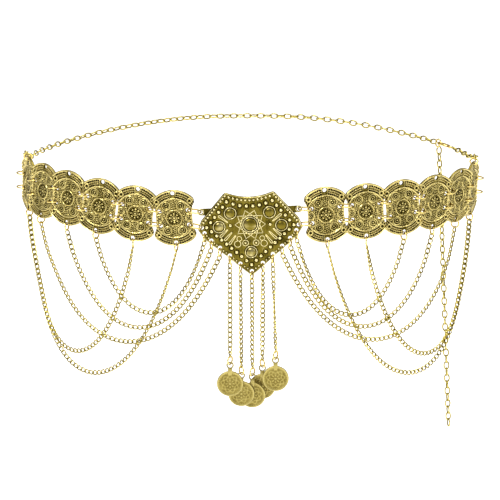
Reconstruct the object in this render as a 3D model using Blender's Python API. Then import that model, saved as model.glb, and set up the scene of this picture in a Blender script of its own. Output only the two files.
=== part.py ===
"""Metal waist chain: twelve lobed cast plates and a pentagonal centre plaque, joined by jump rings.

The belt is shown in its worn form, as a level ring round a hip that isn't built. Ten swag chains
hang from the plates, five pendant chains with coins hang from the plaque, and a cable chain with a
spring clasp closes the back. The origin is the middle of the ring at the plates' half height.
Units are metres, +Z is up, +X is the right end as seen from the front and -Y is the front.
"""

import math

import bmesh
import bpy
import numpy as np
from mathutils import Matrix, Vector

# Plan of the belt: a half ellipse for the front and a rounder one for the back
HIP_HALF_WIDTH = 0.168
HIP_FRONT = 0.110
HIP_BACK = 0.122

# Plates from the front to the back on each side: arc length from the middle of the front, height,
# and lean in degrees about the front-to-back axis, as they settle in the photograph
PLATE_COUNT = 6
PLATE_SEATS = {
    "l": (
        (0.0548, -0.0009, -4.0),
        (0.0843, 0.0003, 6.5),
        (0.1136, 0.0026, 9.0),
        (0.1425, 0.0046, 4.0),
        (0.1714, 0.0046, 7.0),
        (0.2004, 0.0032, 1.0),
    ),
    "r": (
        (0.0550, 0.0015, -3.9),
        (0.0852, 0.0019, -2.0),
        (0.1152, 0.0016, -4.4),
        (0.1447, 0.0011, 3.2),
        (0.1740, 0.0006, 6.0),
        (0.2035, -0.0010, 2.8),
    ),
}
PLATE_TURN_DEG = 6.0

# One cast plate
PLATE_RADIUS = 0.0207
PLATE_LOBE_HALF = 0.0149
PLATE_WAIST_HALF = 0.0132
PLATE_WAIST_HEIGHT = 0.0085
PLATE_THICK = 0.0014
PLATE_HOLE_RADIUS = 0.0015
PLATE_END_HOLE_Z = 0.0183
PLATE_SIDE_HOLE_X = 0.0103
PLATE_SIDE_HOLE_Z = 0.00535
ROSETTE_RADIUS = 0.0058
ROSETTE_HEIGHT = 0.0004

# Centre plaque, seen from the front: x to the right, z up
PLAQUE_Y = -0.1072
PLAQUE_THICK = 0.0015
PLAQUE_TOP_X = 0.0176
PLAQUE_TOP_Z = 0.0194
PLAQUE_ARC_Z = 0.0156
PLAQUE_SHOULDER = (0.0352, -0.0010)
PLAQUE_CORNER = (0.0376, -0.0076)
PLAQUE_LOWER_CORNER = (0.0336, -0.0144)
PLAQUE_TIP_Z = -0.0432
PLAQUE_ROLL_DEG = 2.0
PLAQUE_HOLE_RADIUS = 0.00145
LUG_HOLE = (0.0352, 0.0052)
LUG_HALF_HEIGHT = 0.0025
LUG_ROOT_X = 0.0260
LUG_THICK = 0.0012
LUG_SINK = 0.0006
LUG_Y = PLAQUE_THICK / 2 + LUG_THICK / 2 - LUG_SINK
CORNER_HOLE = (0.0348, -0.0062)
EDGE_HOLES = (
    # x, z of each hole along the lower edge, from the corner to the tip
    (0.0330, -0.0102),
    (0.0284, -0.0158),
    (0.0224, -0.0214),
    (0.0155, -0.0274),
    (0.0081, -0.0337),
    (0.0, -0.0396),
)
DOMES = (
    # x, z, bezel radius
    (0.0, -0.0047, 0.0055),
    (-0.0141, 0.0040, 0.0044),
    (0.0141, 0.0040, 0.0044),
    (-0.0224, -0.0058, 0.0044),
    (0.0224, -0.0058, 0.0044),
    (0.0, -0.0252, 0.0044),
)
BEZEL_HEIGHT = 0.0007
DOME_HEIGHT = 0.0019

# Jump rings of round wire
WIRE = 0.0004
SIDE_RING_RADIUS = 0.0049
DROP_RING_RADIUS = 0.0030
DROP_SEAT = 0.00045
COIN_RING_RADIUS = 0.0030
RING_TURNS_DEG = (14.0, -18.0, 20.0, -12.0, 16.0, -20.0)

# Chains: the width of each kind as a plain tube, and the clearance between touching pieces
CURB_TUBE = 0.0026
CABLE_TUBE = 0.0034
CLEAR = 0.0003
POINT_STEP = 0.0100
PENDANT_STEP = 0.0160

# Swags: each hangs from a plate to another plate or to an edge hole of the plaque, and bulges
# outwards past the chains that it crosses, over some length from its first plate
SWAGS = (
    # from plate, to, index of to, lengths left and right, bulge, length over which it bulges
    (6, "plate", 1, (0.270, 0.270), -0.0024, 0.060),
    (6, "plate", 2, (0.226, 0.230), -0.0024, 0.060),
    (5, "hole", 3, (0.222, 0.217), 0.0010, 0.024),
    (4, "hole", 2, (0.1825, 0.180), 0.0010, 0.024),
    (3, "hole", 1, (0.144, 0.148), 0.0010, 0.024),
)
SWAG_PAIR_SHIFT = 0.0009
BULGE_EASE = 0.024
HOLD_EASE = 0.050
SETTLE_POINTS = 6

# Pendants: edge hole with the side it is on, coin centre x and z, layer behind the plaque's plane
PENDANTS = (
    # hole, side, x, z, layer
    (4, -1, -0.0145, -0.1236, -0.0046),
    (5, -1, -0.0063, -0.1328, 0.0),
    (6, 1, 0.0017, -0.1346, 0.0023),
    (5, 1, 0.0090, -0.1294, 0.0068),
    (4, 1, 0.0186, -0.1204, -0.0023),
)
COIN_RADIUS = 0.00965
COIN_THICK = 0.0012
BAIL_Z = 0.0140
BAIL_OUTER = 0.00265
BAIL_INNER = 0.0018
NECK_HALF = 0.0016
BAIL_PIVOT = 0.00075

# Back chain and clasp, as heights above the plates' middle
CHAIN_SIDE_Z = 0.0155
CHAIN_BACK_Z = 0.0237
CHAIN_RISE_FROM = 0.262
CHAIN_RISE_TO = 0.425
MAIN_RING_RADIUS = 0.0029
CLASP_TAIL_S = 0.2675
CLASP_LENGTH = 0.0185
CLASP_ROLL_DEG = 14.0
CLASP_RING_X = 0.0155
CLASP_THICK = 0.0022
CLASP_GAP = 0.0004
END_RING_TILT_DEG = 55.0
END_RING_TURN_DEG = 10.0
SETTLE_LENGTH = 0.040
EXTENDER_LENGTH = 0.228
EXTENDER_DRIFT = 0.0120
EXTENDER_OFFSET = 0.0012

COLOURS = {
    # name: base colour, roughness
    "plate_gold": ((0.42, 0.34, 0.11), 0.38),
    "plaque_gold": ((0.30, 0.24, 0.07), 0.34),
    "ring_gold": ((0.72, 0.52, 0.20), 0.25),
    "chain_gold": ((0.56, 0.44, 0.17), 0.30),
    "coin_gold": ((0.52, 0.43, 0.17), 0.48),
}


def clear_scene():
    for old in list(bpy.data.objects):
        bpy.data.objects.remove(old, do_unlink=True)


def material(name):
    """One polished or antiqued metal finish."""
    found = bpy.data.materials.get(name)
    if found:
        return found
    made = bpy.data.materials.new(name)
    made.use_nodes = True
    colour, roughness = COLOURS[name]
    shader = made.node_tree.nodes["Principled BSDF"]
    shader.inputs["Base Color"].default_value = (*colour, 1.0)
    shader.inputs["Metallic"].default_value = 1.0
    shader.inputs["Roughness"].default_value = roughness
    return made


def add_object(name, mesh, finish, place=None):
    """Links one named piece, placed by its matrix."""
    obj = bpy.data.objects.new(name, mesh)
    bpy.context.scene.collection.objects.link(obj)
    if not mesh.materials:
        mesh.materials.append(material(finish))
    if place is not None:
        obj.matrix_world = place
    return obj


def mesh_from(name, bm, smooth=False):
    """Turns a bmesh into a mesh with its faces pointing out."""
    bmesh.ops.recalc_face_normals(bm, faces=bm.faces)
    mesh = bpy.data.meshes.new(name)
    bm.to_mesh(mesh)
    bm.free()
    if smooth:
        mesh.shade_smooth()
        mesh.set_sharp_from_angle(angle=math.radians(40))
    return mesh


# The plan of the belt


def hip_tables():
    """Arc length, x and y along the right half of the plan, from the front to the back."""
    turn = np.linspace(0.0, math.pi, 4001)
    depth = np.where(turn < math.pi / 2, HIP_FRONT, HIP_BACK)
    x = HIP_HALF_WIDTH * np.sin(turn)
    y = -depth * np.cos(turn)
    step = np.hypot(np.diff(x), np.diff(y))
    return np.concatenate([[0.0], np.cumsum(step)]), x, y


HIP_S, HIP_X, HIP_Y = hip_tables()
HALF_GIRTH = float(HIP_S[-1])


def on_hip(s, out=0.0):
    """(point, tangent towards growing s, outward normal) of the plan at arc length s, level."""
    side = 1.0 if s >= 0 else -1.0
    reach = abs(s)
    step = 0.0005
    x, y = (float(np.interp(reach, HIP_S, table)) for table in (HIP_X, HIP_Y))
    ahead, behind = min(reach + step, HALF_GIRTH), max(reach - step, 0.0)
    dx = float(np.interp(ahead, HIP_S, HIP_X) - np.interp(behind, HIP_S, HIP_X))
    dy = float(np.interp(ahead, HIP_S, HIP_Y) - np.interp(behind, HIP_S, HIP_Y))
    if reach < step:
        dx, dy = 1.0, 0.0
    along = Vector((dx, side * dy, 0.0)).normalized()
    outward = Vector((along.y, -along.x, 0.0))
    return Vector((side * x, y, 0.0)) + outward * out, along, outward


def hip_point(s, z, out=0.0):
    point, _, _ = on_hip(s, out)
    return Vector((point.x, point.y, z))


# Flat castings with holes


def on_plan(point, s):
    """A point near arc length s as its arc length, its height and its distance outwards."""
    near, along, _ = on_hip(s)
    s += (point - near).dot(along)
    near, _, outward = on_hip(s)
    return s, point.z, (point - near).dot(outward)


def level(axis):
    """The level direction of a matrix column."""
    return Vector((axis[0], axis[1], 0.0)).normalized()


def circle(radius, count, centre=(0.0, 0.0), start=0.0):
    """Corners of a regular polygon, anticlockwise."""
    angles = [start + 2 * math.pi * k / count for k in range(count)]
    return [
        (centre[0] + radius * math.cos(a), centre[1] + radius * math.sin(a))
        for a in angles
    ]


def cast_flat(name, outline, holes, thick, finish):
    """A flat casting standing in the XZ plane: the outline less its holes, thick along Y."""
    bm = bmesh.new()
    edges = []
    for loop in (outline, *holes):
        verts = [bm.verts.new((x, thick / 2, z)) for x, z in loop]
        edges += [
            bm.edges.new((verts[k], verts[(k + 1) % len(verts)]))
            for k in range(len(verts))
        ]
    bmesh.ops.triangle_fill(bm, use_beauty=True, use_dissolve=False, edges=edges)
    made = bmesh.ops.extrude_face_region(bm, geom=bm.faces[:])
    moved = [v for v in made["geom"] if isinstance(v, bmesh.types.BMVert)]
    bmesh.ops.translate(bm, verts=moved, vec=(0.0, -thick, 0.0))
    mesh = mesh_from(name, bm)
    mesh.materials.append(material(finish))
    return mesh


def turned_boss(name, centre, y, profile, segments):
    """A round boss facing -Y, from (radius, height) pairs that start and end on its axis."""
    bm = bmesh.new()
    rings = []
    for radius, height in profile[1:-1]:
        loop = circle(radius, segments, centre)
        rings.append([bm.verts.new((x, y - height, z)) for x, z in loop])
    ends = [
        bm.verts.new((centre[0], y - height, centre[1]))
        for _, height in (profile[0], profile[-1])
    ]
    for k in range(segments):
        after = (k + 1) % segments
        bm.faces.new((ends[0], rings[0][k], rings[0][after]))
        bm.faces.new((ends[1], rings[-1][after], rings[-1][k]))
        for low, high in zip(rings, rings[1:]):
            bm.faces.new((low[k], high[k], high[after], low[after]))
    return add_object(name, mesh_from(name, bm), "plate_gold")


def union(target, tool, finish):
    """Joins tool to target with an exact Boolean and keeps tool as a hidden helper."""
    tool.hide_render = True
    tool.display_type = "WIRE"
    step = target.modifiers.new("join_" + tool.name, "BOOLEAN")
    step.operation = "UNION"
    step.solver = "EXACT"
    step.object = tool
    target.data.materials.clear()
    target.data.materials.append(material(finish))


def joined(name, objects):
    """One mesh of several separate closed shapes, for use as a single Boolean tool."""
    bm = bmesh.new()
    for obj in objects:
        bm.from_mesh(obj.data)
        bpy.data.objects.remove(obj, do_unlink=True)
    return add_object(name, mesh_from(name, bm), "plate_gold")


# Plates


def plate_outline():
    """A disc cut back at its sides, with a concave waist between an upper and a lower lobe."""
    corner = math.acos(PLATE_LOBE_HALF / PLATE_RADIUS)
    lobe_z = PLATE_RADIUS * math.sin(corner)
    right = [(PLATE_WAIST_HALF, -PLATE_WAIST_HEIGHT * 0.55)]
    right.append((PLATE_WAIST_HALF, PLATE_WAIST_HEIGHT * 0.55))
    right.append((PLATE_WAIST_HALF + 0.0006, PLATE_WAIST_HEIGHT))
    right.append((PLATE_LOBE_HALF, PLATE_WAIST_HEIGHT + 0.0016))
    right.append((PLATE_LOBE_HALF, lobe_z - 0.0012))
    upper = [
        (PLATE_RADIUS * math.cos(a), PLATE_RADIUS * math.sin(a))
        for a in np.linspace(corner + 0.10, math.pi - corner - 0.10, 8)
    ]
    left = [(-x, z) for x, z in reversed(right[1:])]
    half = right[1:] + upper + left
    return half + [(-x, -z) for x, z in half]


def plate_holes():
    """Centres of the six holes, as x and z: top, bottom, and two at each side."""
    side = [
        (i * PLATE_SIDE_HOLE_X, k * PLATE_SIDE_HOLE_Z) for i in (-1, 1) for k in (-1, 1)
    ]
    return [(0.0, PLATE_END_HOLE_Z), (0.0, -PLATE_END_HOLE_Z), *side]


def plate_places():
    """Matrix of each plate by name, turned about the vertical so that it laps over the next one."""
    places = {}
    for side, letter in ((-1, "l"), (1, "r")):
        lap = Matrix.Rotation(-side * math.radians(PLATE_TURN_DEG), 4, "Z")
        for number, (s, z, lean) in enumerate(PLATE_SEATS[letter], 1):
            point, along, outward = on_hip(side * s)
            upright = Matrix((along, -outward, (0, 0, 1))).transposed().to_4x4()
            tilt = Matrix.Rotation(math.radians(lean), 4, "Y")
            seat = Matrix.Translation(point + Vector((0, 0, z)))
            places[f"plate_{letter}{number}"] = seat @ tilt @ lap @ upright
    return places


def build_plates(places):
    holes = [circle(PLATE_HOLE_RADIUS, 8, c, math.pi / 8) for c in plate_holes()]
    mesh = cast_flat("plate", plate_outline(), holes, PLATE_THICK, "plate_gold")
    master = add_object("plate_master", mesh, "plate_gold")
    face = -PLATE_THICK / 2
    profile = [
        (0.0, -PLATE_THICK / 2),
        (ROSETTE_RADIUS, -PLATE_THICK / 2),
        (ROSETTE_RADIUS, ROSETTE_HEIGHT),
        (ROSETTE_RADIUS * 0.35, ROSETTE_HEIGHT),
        (0.0, ROSETTE_HEIGHT * 2),
    ]
    rosette = turned_boss("plate_rosette", (0.0, 0.0), face, profile, 8)
    union(master, rosette, "plate_gold")
    graph = bpy.context.evaluated_depsgraph_get()
    cast = bpy.data.meshes.new_from_object(master.evaluated_get(graph))
    cast.name = "plate_cast"
    for helper in (master, rosette):
        bpy.data.objects.remove(helper, do_unlink=True)
    for name, place in places.items():
        add_object(name, cast, "plate_gold", place)


# Plaque


def plaque_outline():
    """Pentagon with a hollow top edge, short corners at the sides and a pointed foot."""
    drop = PLAQUE_TOP_Z - PLAQUE_ARC_Z
    arc = [
        (x, PLAQUE_ARC_Z + drop * (x / PLAQUE_TOP_X) ** 2)
        for x in np.linspace(PLAQUE_TOP_X - 0.0012, -PLAQUE_TOP_X + 0.0012, 9)
    ]
    side = [(0.0, PLAQUE_TIP_Z), PLAQUE_LOWER_CORNER, PLAQUE_CORNER, PLAQUE_SHOULDER]
    shoulder = (PLAQUE_TOP_X + 0.0008, PLAQUE_TOP_Z - 0.0010)
    right = side + [shoulder]
    left = [(-x, z) for x, z in reversed(right[1:])]
    return right + arc + left


def plaque_holes():
    """Centres of the edge holes and corner holes, as x and z."""
    pairs = [CORNER_HOLE, *EDGE_HOLES[:-1]]
    return [(side * x, z) for x, z in pairs for side in (-1, 1)] + [EDGE_HOLES[-1]]


def plaque_place():
    """Matrix of the plaque, which hangs a little askew, its right side up."""
    roll = Matrix.Rotation(-math.radians(PLAQUE_ROLL_DEG), 4, "Y")
    return Matrix.Translation((0.0, PLAQUE_Y, 0.0)) @ roll


def build_plaque():
    place = plaque_place()
    holes = [circle(PLAQUE_HOLE_RADIUS, 8, c, math.pi / 8) for c in plaque_holes()]
    mesh = cast_flat("plaque", plaque_outline(), holes, PLAQUE_THICK, "plaque_gold")
    plaque = add_object("plaque", mesh, "plaque_gold", place)
    lugs = []
    for side in (-1, 1):
        x, z = LUG_HOLE
        end = [
            (x + LUG_HALF_HEIGHT * math.cos(a), z + LUG_HALF_HEIGHT * math.sin(a))
            for a in np.linspace(-math.pi / 2, math.pi / 2, 7)
        ]
        root = [(LUG_ROOT_X, z + LUG_HALF_HEIGHT), (LUG_ROOT_X, z - LUG_HALF_HEIGHT)]
        outline = [(side * px, pz) for px, pz in end + root]
        hole = circle(PLAQUE_HOLE_RADIUS, 8, (side * x, z), math.pi / 8)
        lug = cast_flat("lug", outline, [hole], LUG_THICK, "plaque_gold")
        lug.transform(Matrix.Translation((0.0, LUG_Y, 0.0)))
        lugs.append(add_object("lug", lug, "plaque_gold"))
    lug_tool = joined("plaque_lugs", lugs)
    lug_tool.matrix_world = place
    union(plaque, lug_tool, "plaque_gold")
    domes = []
    for x, z, radius in DOMES:
        inner = radius * 0.82
        profile = [
            (0.0, -PLAQUE_THICK / 2),
            (radius, -PLAQUE_THICK / 2),
            (radius, BEZEL_HEIGHT),
            (inner, BEZEL_HEIGHT),
            (inner * 0.7, BEZEL_HEIGHT + (DOME_HEIGHT - BEZEL_HEIGHT) * 0.72),
            (0.0, DOME_HEIGHT),
        ]
        domes.append(turned_boss("dome", (x, z), -PLAQUE_THICK / 2, profile, 10))
    dome_tool = joined("plaque_domes", domes)
    dome_tool.matrix_world = place
    union(plaque, dome_tool, "plaque_gold")
    return plaque


# Rings of round wire


DOWN = Vector((0.0, 0.0, -1.0))


def add_ring(bm, centre, axis_a, axis_b, radius):
    """A closed ring of four-sided wire in the plane of axis_a and axis_b."""
    count = 8 if radius < SIDE_RING_RADIUS else 10
    axis_a = Vector(axis_a).normalized()
    axis_b = Vector(axis_b)
    axis_b = (axis_b - axis_a * axis_a.dot(axis_b)).normalized()
    axis_c = axis_a.cross(axis_b)
    loops = []
    for k in range(count):
        turn = 2 * math.pi * k / count
        spoke = axis_a * math.cos(turn) + axis_b * math.sin(turn)
        sides = (spoke, axis_c, -spoke, -axis_c)
        loops.append([bm.verts.new(centre + spoke * radius + d * WIRE) for d in sides])
    for k in range(count):
        here, there = loops[k], loops[(k + 1) % count]
        for j in range(4):
            after = (j + 1) % 4
            bm.faces.new((here[j], here[after], there[after], there[j]))


def ring_object(name, rings):
    """One node of separate rings, each given as the arguments of add_ring."""
    bm = bmesh.new()
    for ring in rings:
        add_ring(bm, *ring)
    return add_object(name, mesh_from(name, bm, smooth=True), "ring_gold")


def side_ring(first, second, outward):
    """A level ring through two facing holes."""
    return (first + second) / 2, second - first, outward, SIDE_RING_RADIUS


def build_side_rings(places):
    """An upper and a lower ring in each gap of the belt, from the plaque to the end plates."""
    plaque = plaque_place()
    for side, letter in ((-1, "l"), (1, "r")):
        plates = [places[f"plate_{letter}{k}"] for k in range(1, PLATE_COUNT + 1)]
        for k, level in ((-1, "lower"), (1, "upper")):
            z = k * PLATE_SIDE_HOLE_Z
            (x, held_z), y = (LUG_HOLE, LUG_Y) if k > 0 else (CORNER_HOLE, 0.0)
            start = plaque @ Vector((side * x, y, held_z))
            before = "plaque"
            for number, place in enumerate(plates, 1):
                end = place @ Vector((-side * PLATE_SIDE_HOLE_X, 0.0, z))
                name = f"ring_{before}_{letter}{number}_{level}"
                ring_object(name, [side_ring(start, end, place.col[1].to_3d())])
                start = place @ Vector((side * PLATE_SIDE_HOLE_X, 0.0, z))
                before = f"{letter}{number}"


def hole_ring(hole, outward, turn_deg, reach=DOWN, radius=DROP_RING_RADIUS):
    """A ring through a hole, turned about the vertical, and the middle of its far wire."""
    across = Matrix.Rotation(math.radians(turn_deg), 3, "Z") @ outward.to_3d()
    centre = hole + reach * (DROP_SEAT + radius)
    return (centre, reach, across, radius), centre + reach * radius


# Chains as plain tubes


def catenary(start, end, length):
    """Points (s, z) of a chain of that length hung between two points, found by bisection."""
    (s0, z0), (s1, z1) = start, end
    span, rise = abs(s1 - s0), z1 - z0
    need = math.sqrt(length**2 - rise**2) / span
    low, high = 1e-4, 30.0
    for _ in range(80):
        mid = (low + high) / 2
        if math.sinh(mid) / mid < need:
            low = mid
        else:
            high = mid
    scale = span / (2 * low)
    left = math.atanh(rise / length) * scale - span / 2
    count = max(4, round(length / POINT_STEP) + 1)
    points = []
    for travelled in np.linspace(0.0, length, count):
        u = scale * math.asinh(math.sinh(left / scale) + travelled / scale)
        z = z0 + scale * (math.cosh(u / scale) - math.cosh(left / scale))
        points.append((s0 + (s1 - s0) * (u - left) / span, z))
    return points


def tube(name, points, width, finish="chain_gold"):
    """A chain as a plain tube with filled caps, along its points, as a curve object."""
    curve = bpy.data.curves.new(name, "CURVE")
    curve.dimensions = "3D"
    curve.bevel_depth = width / 2
    curve.bevel_resolution = 2
    curve.use_fill_caps = True
    spline = curve.splines.new("POLY")
    spline.points.add(len(points) - 1)
    for spot, point in zip(spline.points, points):
        spot.co = (*point, 1.0)
    curve.materials.append(material(finish))
    obj = bpy.data.objects.new(name, curve)
    bpy.context.scene.collection.objects.link(obj)
    return obj


def as_mesh(curve_object):
    """Swaps a curve object for a mesh object of the same name, merged at its caps."""
    graph = bpy.context.evaluated_depsgraph_get()
    mesh = bpy.data.meshes.new_from_object(curve_object.evaluated_get(graph))
    name = curve_object.name
    bpy.data.objects.remove(curve_object, do_unlink=True)
    bm = bmesh.new()
    bm.from_mesh(mesh)
    bmesh.ops.remove_doubles(bm, verts=bm.verts, dist=1e-6)
    bmesh.ops.recalc_face_normals(bm, faces=bm.faces)
    bm.to_mesh(mesh)
    bm.free()
    mesh.name = name
    return add_object(name, mesh, "chain_gold")


def chain_with_rings(name, tubes, rings):
    """One node: the tubes of a chain, fused at their ends to the jump rings that hold them."""
    chain = as_mesh(tubes[0])
    chain.name = name
    for other in tubes[1:]:
        union(chain, as_mesh(other), "chain_gold")
    held = [ring_object(f"{name}_ring", [ring]) for ring in rings]
    if held:
        union(chain, joined(f"{name}_rings", held), "chain_gold")
    return chain


def ease(x):
    x = min(max(x, 0.0), 1.0)
    return x * x * (3 - 2 * x)


def swag_points(start, end, length, bulge, bulge_from):
    """A chain hung on the hip's curved side: a catenary in (s, z), bulging out in its middle.

    Each end is s, z and the distance outwards of the ring that holds it.
    """
    flat = catenary(start[:2], end[:2], length)
    last = len(flat) - 1
    made = []
    for k, (s, z) in enumerate(flat):
        travelled = length * k / last
        left = length - travelled
        out = bulge * ease(min(travelled / bulge_from, left / BULGE_EASE))
        out += start[2] * (1 - ease(travelled / HOLD_EASE))
        out += end[2] * (1 - ease(left / HOLD_EASE))
        made.append(hip_point(s, z, out))
    return made


def plate_rings(places):
    """The ring under each plate and its foot on the plan, by side letter and plate number."""
    held = {}
    for side, letter in ((-1, "l"), (1, "r")):
        for number, (s, _, _) in enumerate(PLATE_SEATS[letter], 1):
            place = places[f"plate_{letter}{number}"]
            hole = place @ Vector((0.0, 0.0, -PLATE_END_HOLE_Z))
            turn = side * RING_TURNS_DEG[number - 1]
            ring, foot = hole_ring(hole, level(place.col[1]), turn)
            held[letter, number] = (ring, on_plan(foot, side * s))
    return held


def plaque_rings():
    """The ring in each edge hole of the plaque and its foot, by side letter and number."""
    held = {}
    plaque = plaque_place()
    for side, letter in ((-1, "l"), (1, "r")):
        for number, (x, z) in enumerate(EDGE_HOLES, 1):
            turn = side * RING_TURNS_DEG[number - 1]
            hole = plaque @ Vector((side * x, 0.0, z))
            held[letter, number] = hole_ring(hole, Vector((0, 1, 0)), turn)
    return held


def build_swags(under_plates, under_plaque):
    """The swag chains, each fused to the jump rings that it hangs from.

    The two that share the end plate's ring are one node.
    """
    for side, letter in ((-1, "l"), (1, "r")):
        shared_tubes, shared_rings = [], [under_plates[letter, PLATE_COUNT][0]]
        for plate, kind, index, lengths, bulge, bulge_from in SWAGS:
            ring, (s0, z0, out0) = under_plates[letter, plate]
            length = lengths[0] if side < 0 else lengths[1]
            if kind == "plate":
                far_ring, end = under_plates[letter, index]
                s0 += side * SWAG_PAIR_SHIFT * (1 if index == 1 else -1)
            else:
                far_ring, foot = under_plaque[letter, index]
                end = (foot.x, foot.z, 0.0)
            points = swag_points((s0, z0, out0), end, length, bulge, bulge_from)
            if kind == "hole":
                points = settle_end(points, foot)
            name = f"swag_{letter}{plate}_{kind}{index}"
            chain = tube(name, points, CURB_TUBE)
            if plate == PLATE_COUNT:
                shared_tubes.append(chain)
                shared_rings.append(far_ring)
            else:
                chain_with_rings(name, [chain], [ring, far_ring])
        pair = f"swag_{letter}{PLATE_COUNT}_pair"
        chain_with_rings(pair, shared_tubes, shared_rings)


def settle_end(points, foot):
    """Eases the last stretch of a chain over to the foot of its ring on the flat plaque."""
    shift = foot - points[-1]
    first = len(points) - 1 - SETTLE_POINTS
    return [p + shift * ease((k - first) / SETTLE_POINTS) for k, p in enumerate(points)]


# Pendants and coins


def coin_outline():
    """A disc with a neck and a round bail on top, about the disc's centre."""
    reach = math.asin(NECK_HALF / COIN_RADIUS)
    disc = [
        (COIN_RADIUS * math.sin(a), COIN_RADIUS * math.cos(a))
        for a in np.linspace(2 * math.pi - reach, reach, 19)
    ]
    bail_reach = math.asin(NECK_HALF / BAIL_OUTER)
    bail = [
        (BAIL_OUTER * math.sin(a), BAIL_Z - BAIL_OUTER * math.cos(a))
        for a in np.linspace(bail_reach, 2 * math.pi - bail_reach, 9)
    ]
    return disc + bail


def build_pendants(under_plaque):
    """The coins on their pivots, and the chains fused to the rings above and below them."""
    hole = circle(BAIL_INNER, 8, (0.0, BAIL_Z), math.pi / 8)
    mesh = cast_flat("coin", coin_outline(), [hole], COIN_THICK, "coin_gold")
    pivot_z = BAIL_Z + BAIL_PIVOT
    mesh.transform(Matrix.Translation((0.0, 0.0, -pivot_z)))
    up = Vector((0.0, 0.0, 1.0))
    for number, (index, side, x, z, layer) in enumerate(PENDANTS, 1):
        pivot = Vector((x, PLAQUE_Y + layer, z + pivot_z))
        add_object(f"coin_{number}", mesh, "coin_gold", Matrix.Translation(pivot))
        centre = pivot + up * COIN_RING_RADIUS
        coin_ring = (centre, up, Vector((0, 1, 0)), COIN_RING_RADIUS)
        foot = centre + up * COIN_RING_RADIUS
        top_ring, head = under_plaque["r" if side > 0 else "l", index]
        count = round((head - foot).length / PENDANT_STEP) + 1
        points = [head.lerp(foot, k / (count - 1)) for k in range(count)]
        name = f"pendant_chain_{number}"
        chain_with_rings(name, [tube(name, points, CURB_TUBE)], [top_ring, coin_ring])


# Back chain and clasp


def chain_z(s):
    """Height of the closing chain: level round the sides and a little higher at the back."""
    share = (abs(s) - CHAIN_RISE_FROM) / (CHAIN_RISE_TO - CHAIN_RISE_FROM)
    return CHAIN_SIDE_Z + (CHAIN_BACK_Z - CHAIN_SIDE_Z) * ease(share)


def strip_outline(centre, halves):
    """Outline of a bar that follows a centre line with a half width at each point."""
    left, right = [], []
    last = len(centre) - 1
    for k, ((x, z), half) in enumerate(zip(centre, halves)):
        ahead, behind = centre[min(k + 1, last)], centre[max(k - 1, 0)]
        along = Vector((ahead[0] - behind[0], ahead[1] - behind[1])).normalized()
        left.append((x - along.y * half, z + along.x * half))
        right.append((x + along.y * half, z - along.x * half))
    return left + list(reversed(right))


def clasp_hook():
    """Centre line and half widths of the clasp's hook, from its tail round its nose."""
    length = CLASP_LENGTH
    centre = [
        (0.0040, 0.0),
        (0.0058, 0.0014),
        (0.0080, 0.0021),
        (0.0110, 0.0023),
        (0.0140, 0.0021),
        (0.0165, 0.0014),
        (length - 0.0009, 0.0),
        (0.0168, -0.0014),
        (0.0148, -0.0020),
    ]
    halves = [0.0016, 0.0012, 0.0010, 0.0009, 0.0009, 0.0009, 0.0009, 0.0008, 0.0006]
    return centre, halves


def clasp_place():
    """Matrix of the clasp, lying nearly level: x from its tail to its nose, y through it."""
    nose_s = CLASP_TAIL_S + CLASP_LENGTH
    tail = hip_point(CLASP_TAIL_S, chain_z(CLASP_TAIL_S))
    along = (hip_point(nose_s, chain_z(nose_s)) - tail).normalized()
    outward = along.cross(-DOWN).normalized()
    turn = Matrix((along, outward.cross(along), outward)).transposed().to_4x4()
    roll = Matrix.Rotation(math.radians(CLASP_ROLL_DEG), 4, "X")
    return Matrix.Translation(tail) @ turn @ roll


def build_clasp():
    place = clasp_place()
    centre, halves = clasp_hook()
    hook = cast_flat(
        "hook", strip_outline(centre, halves), [], CLASP_THICK, "ring_gold"
    )
    body = add_object("clasp_body", hook, "ring_gold", place)
    tail = circle(0.0021, 12, (0.0021, 0.0))
    eye = circle(0.0012, 8, (0.0021, 0.0), math.pi / 8)
    bar = [(0.0036, -0.0010), (0.0054, -0.0010), (0.0054, 0.0010), (0.0036, 0.0010)]
    tail_mesh = cast_flat("tail", tail, [eye], CLASP_THICK * 0.6, "ring_gold")
    bar_mesh = cast_flat("neck", bar, [], CLASP_THICK * 0.7, "ring_gold")
    tool = joined("clasp_tail", [add_object("tail", tail_mesh, "ring_gold")])
    tool.matrix_world = place
    union(body, tool, "ring_gold")
    neck = add_object("clasp_neck", bar_mesh, "ring_gold", place)
    union(body, neck, "ring_gold")
    lever_line = [(0.0066, -0.0016), (0.0090, -0.0021), (0.0125, -0.0022), (0.0139, -0.0021)]
    lever = cast_flat(
        "lever",
        strip_outline(lever_line, [0.0007, 0.0008, 0.0006, 0.0005]),
        [],
        CLASP_THICK * 0.6,
        "ring_gold",
    )
    add_object("clasp_lever", lever, "ring_gold", place)


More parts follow.
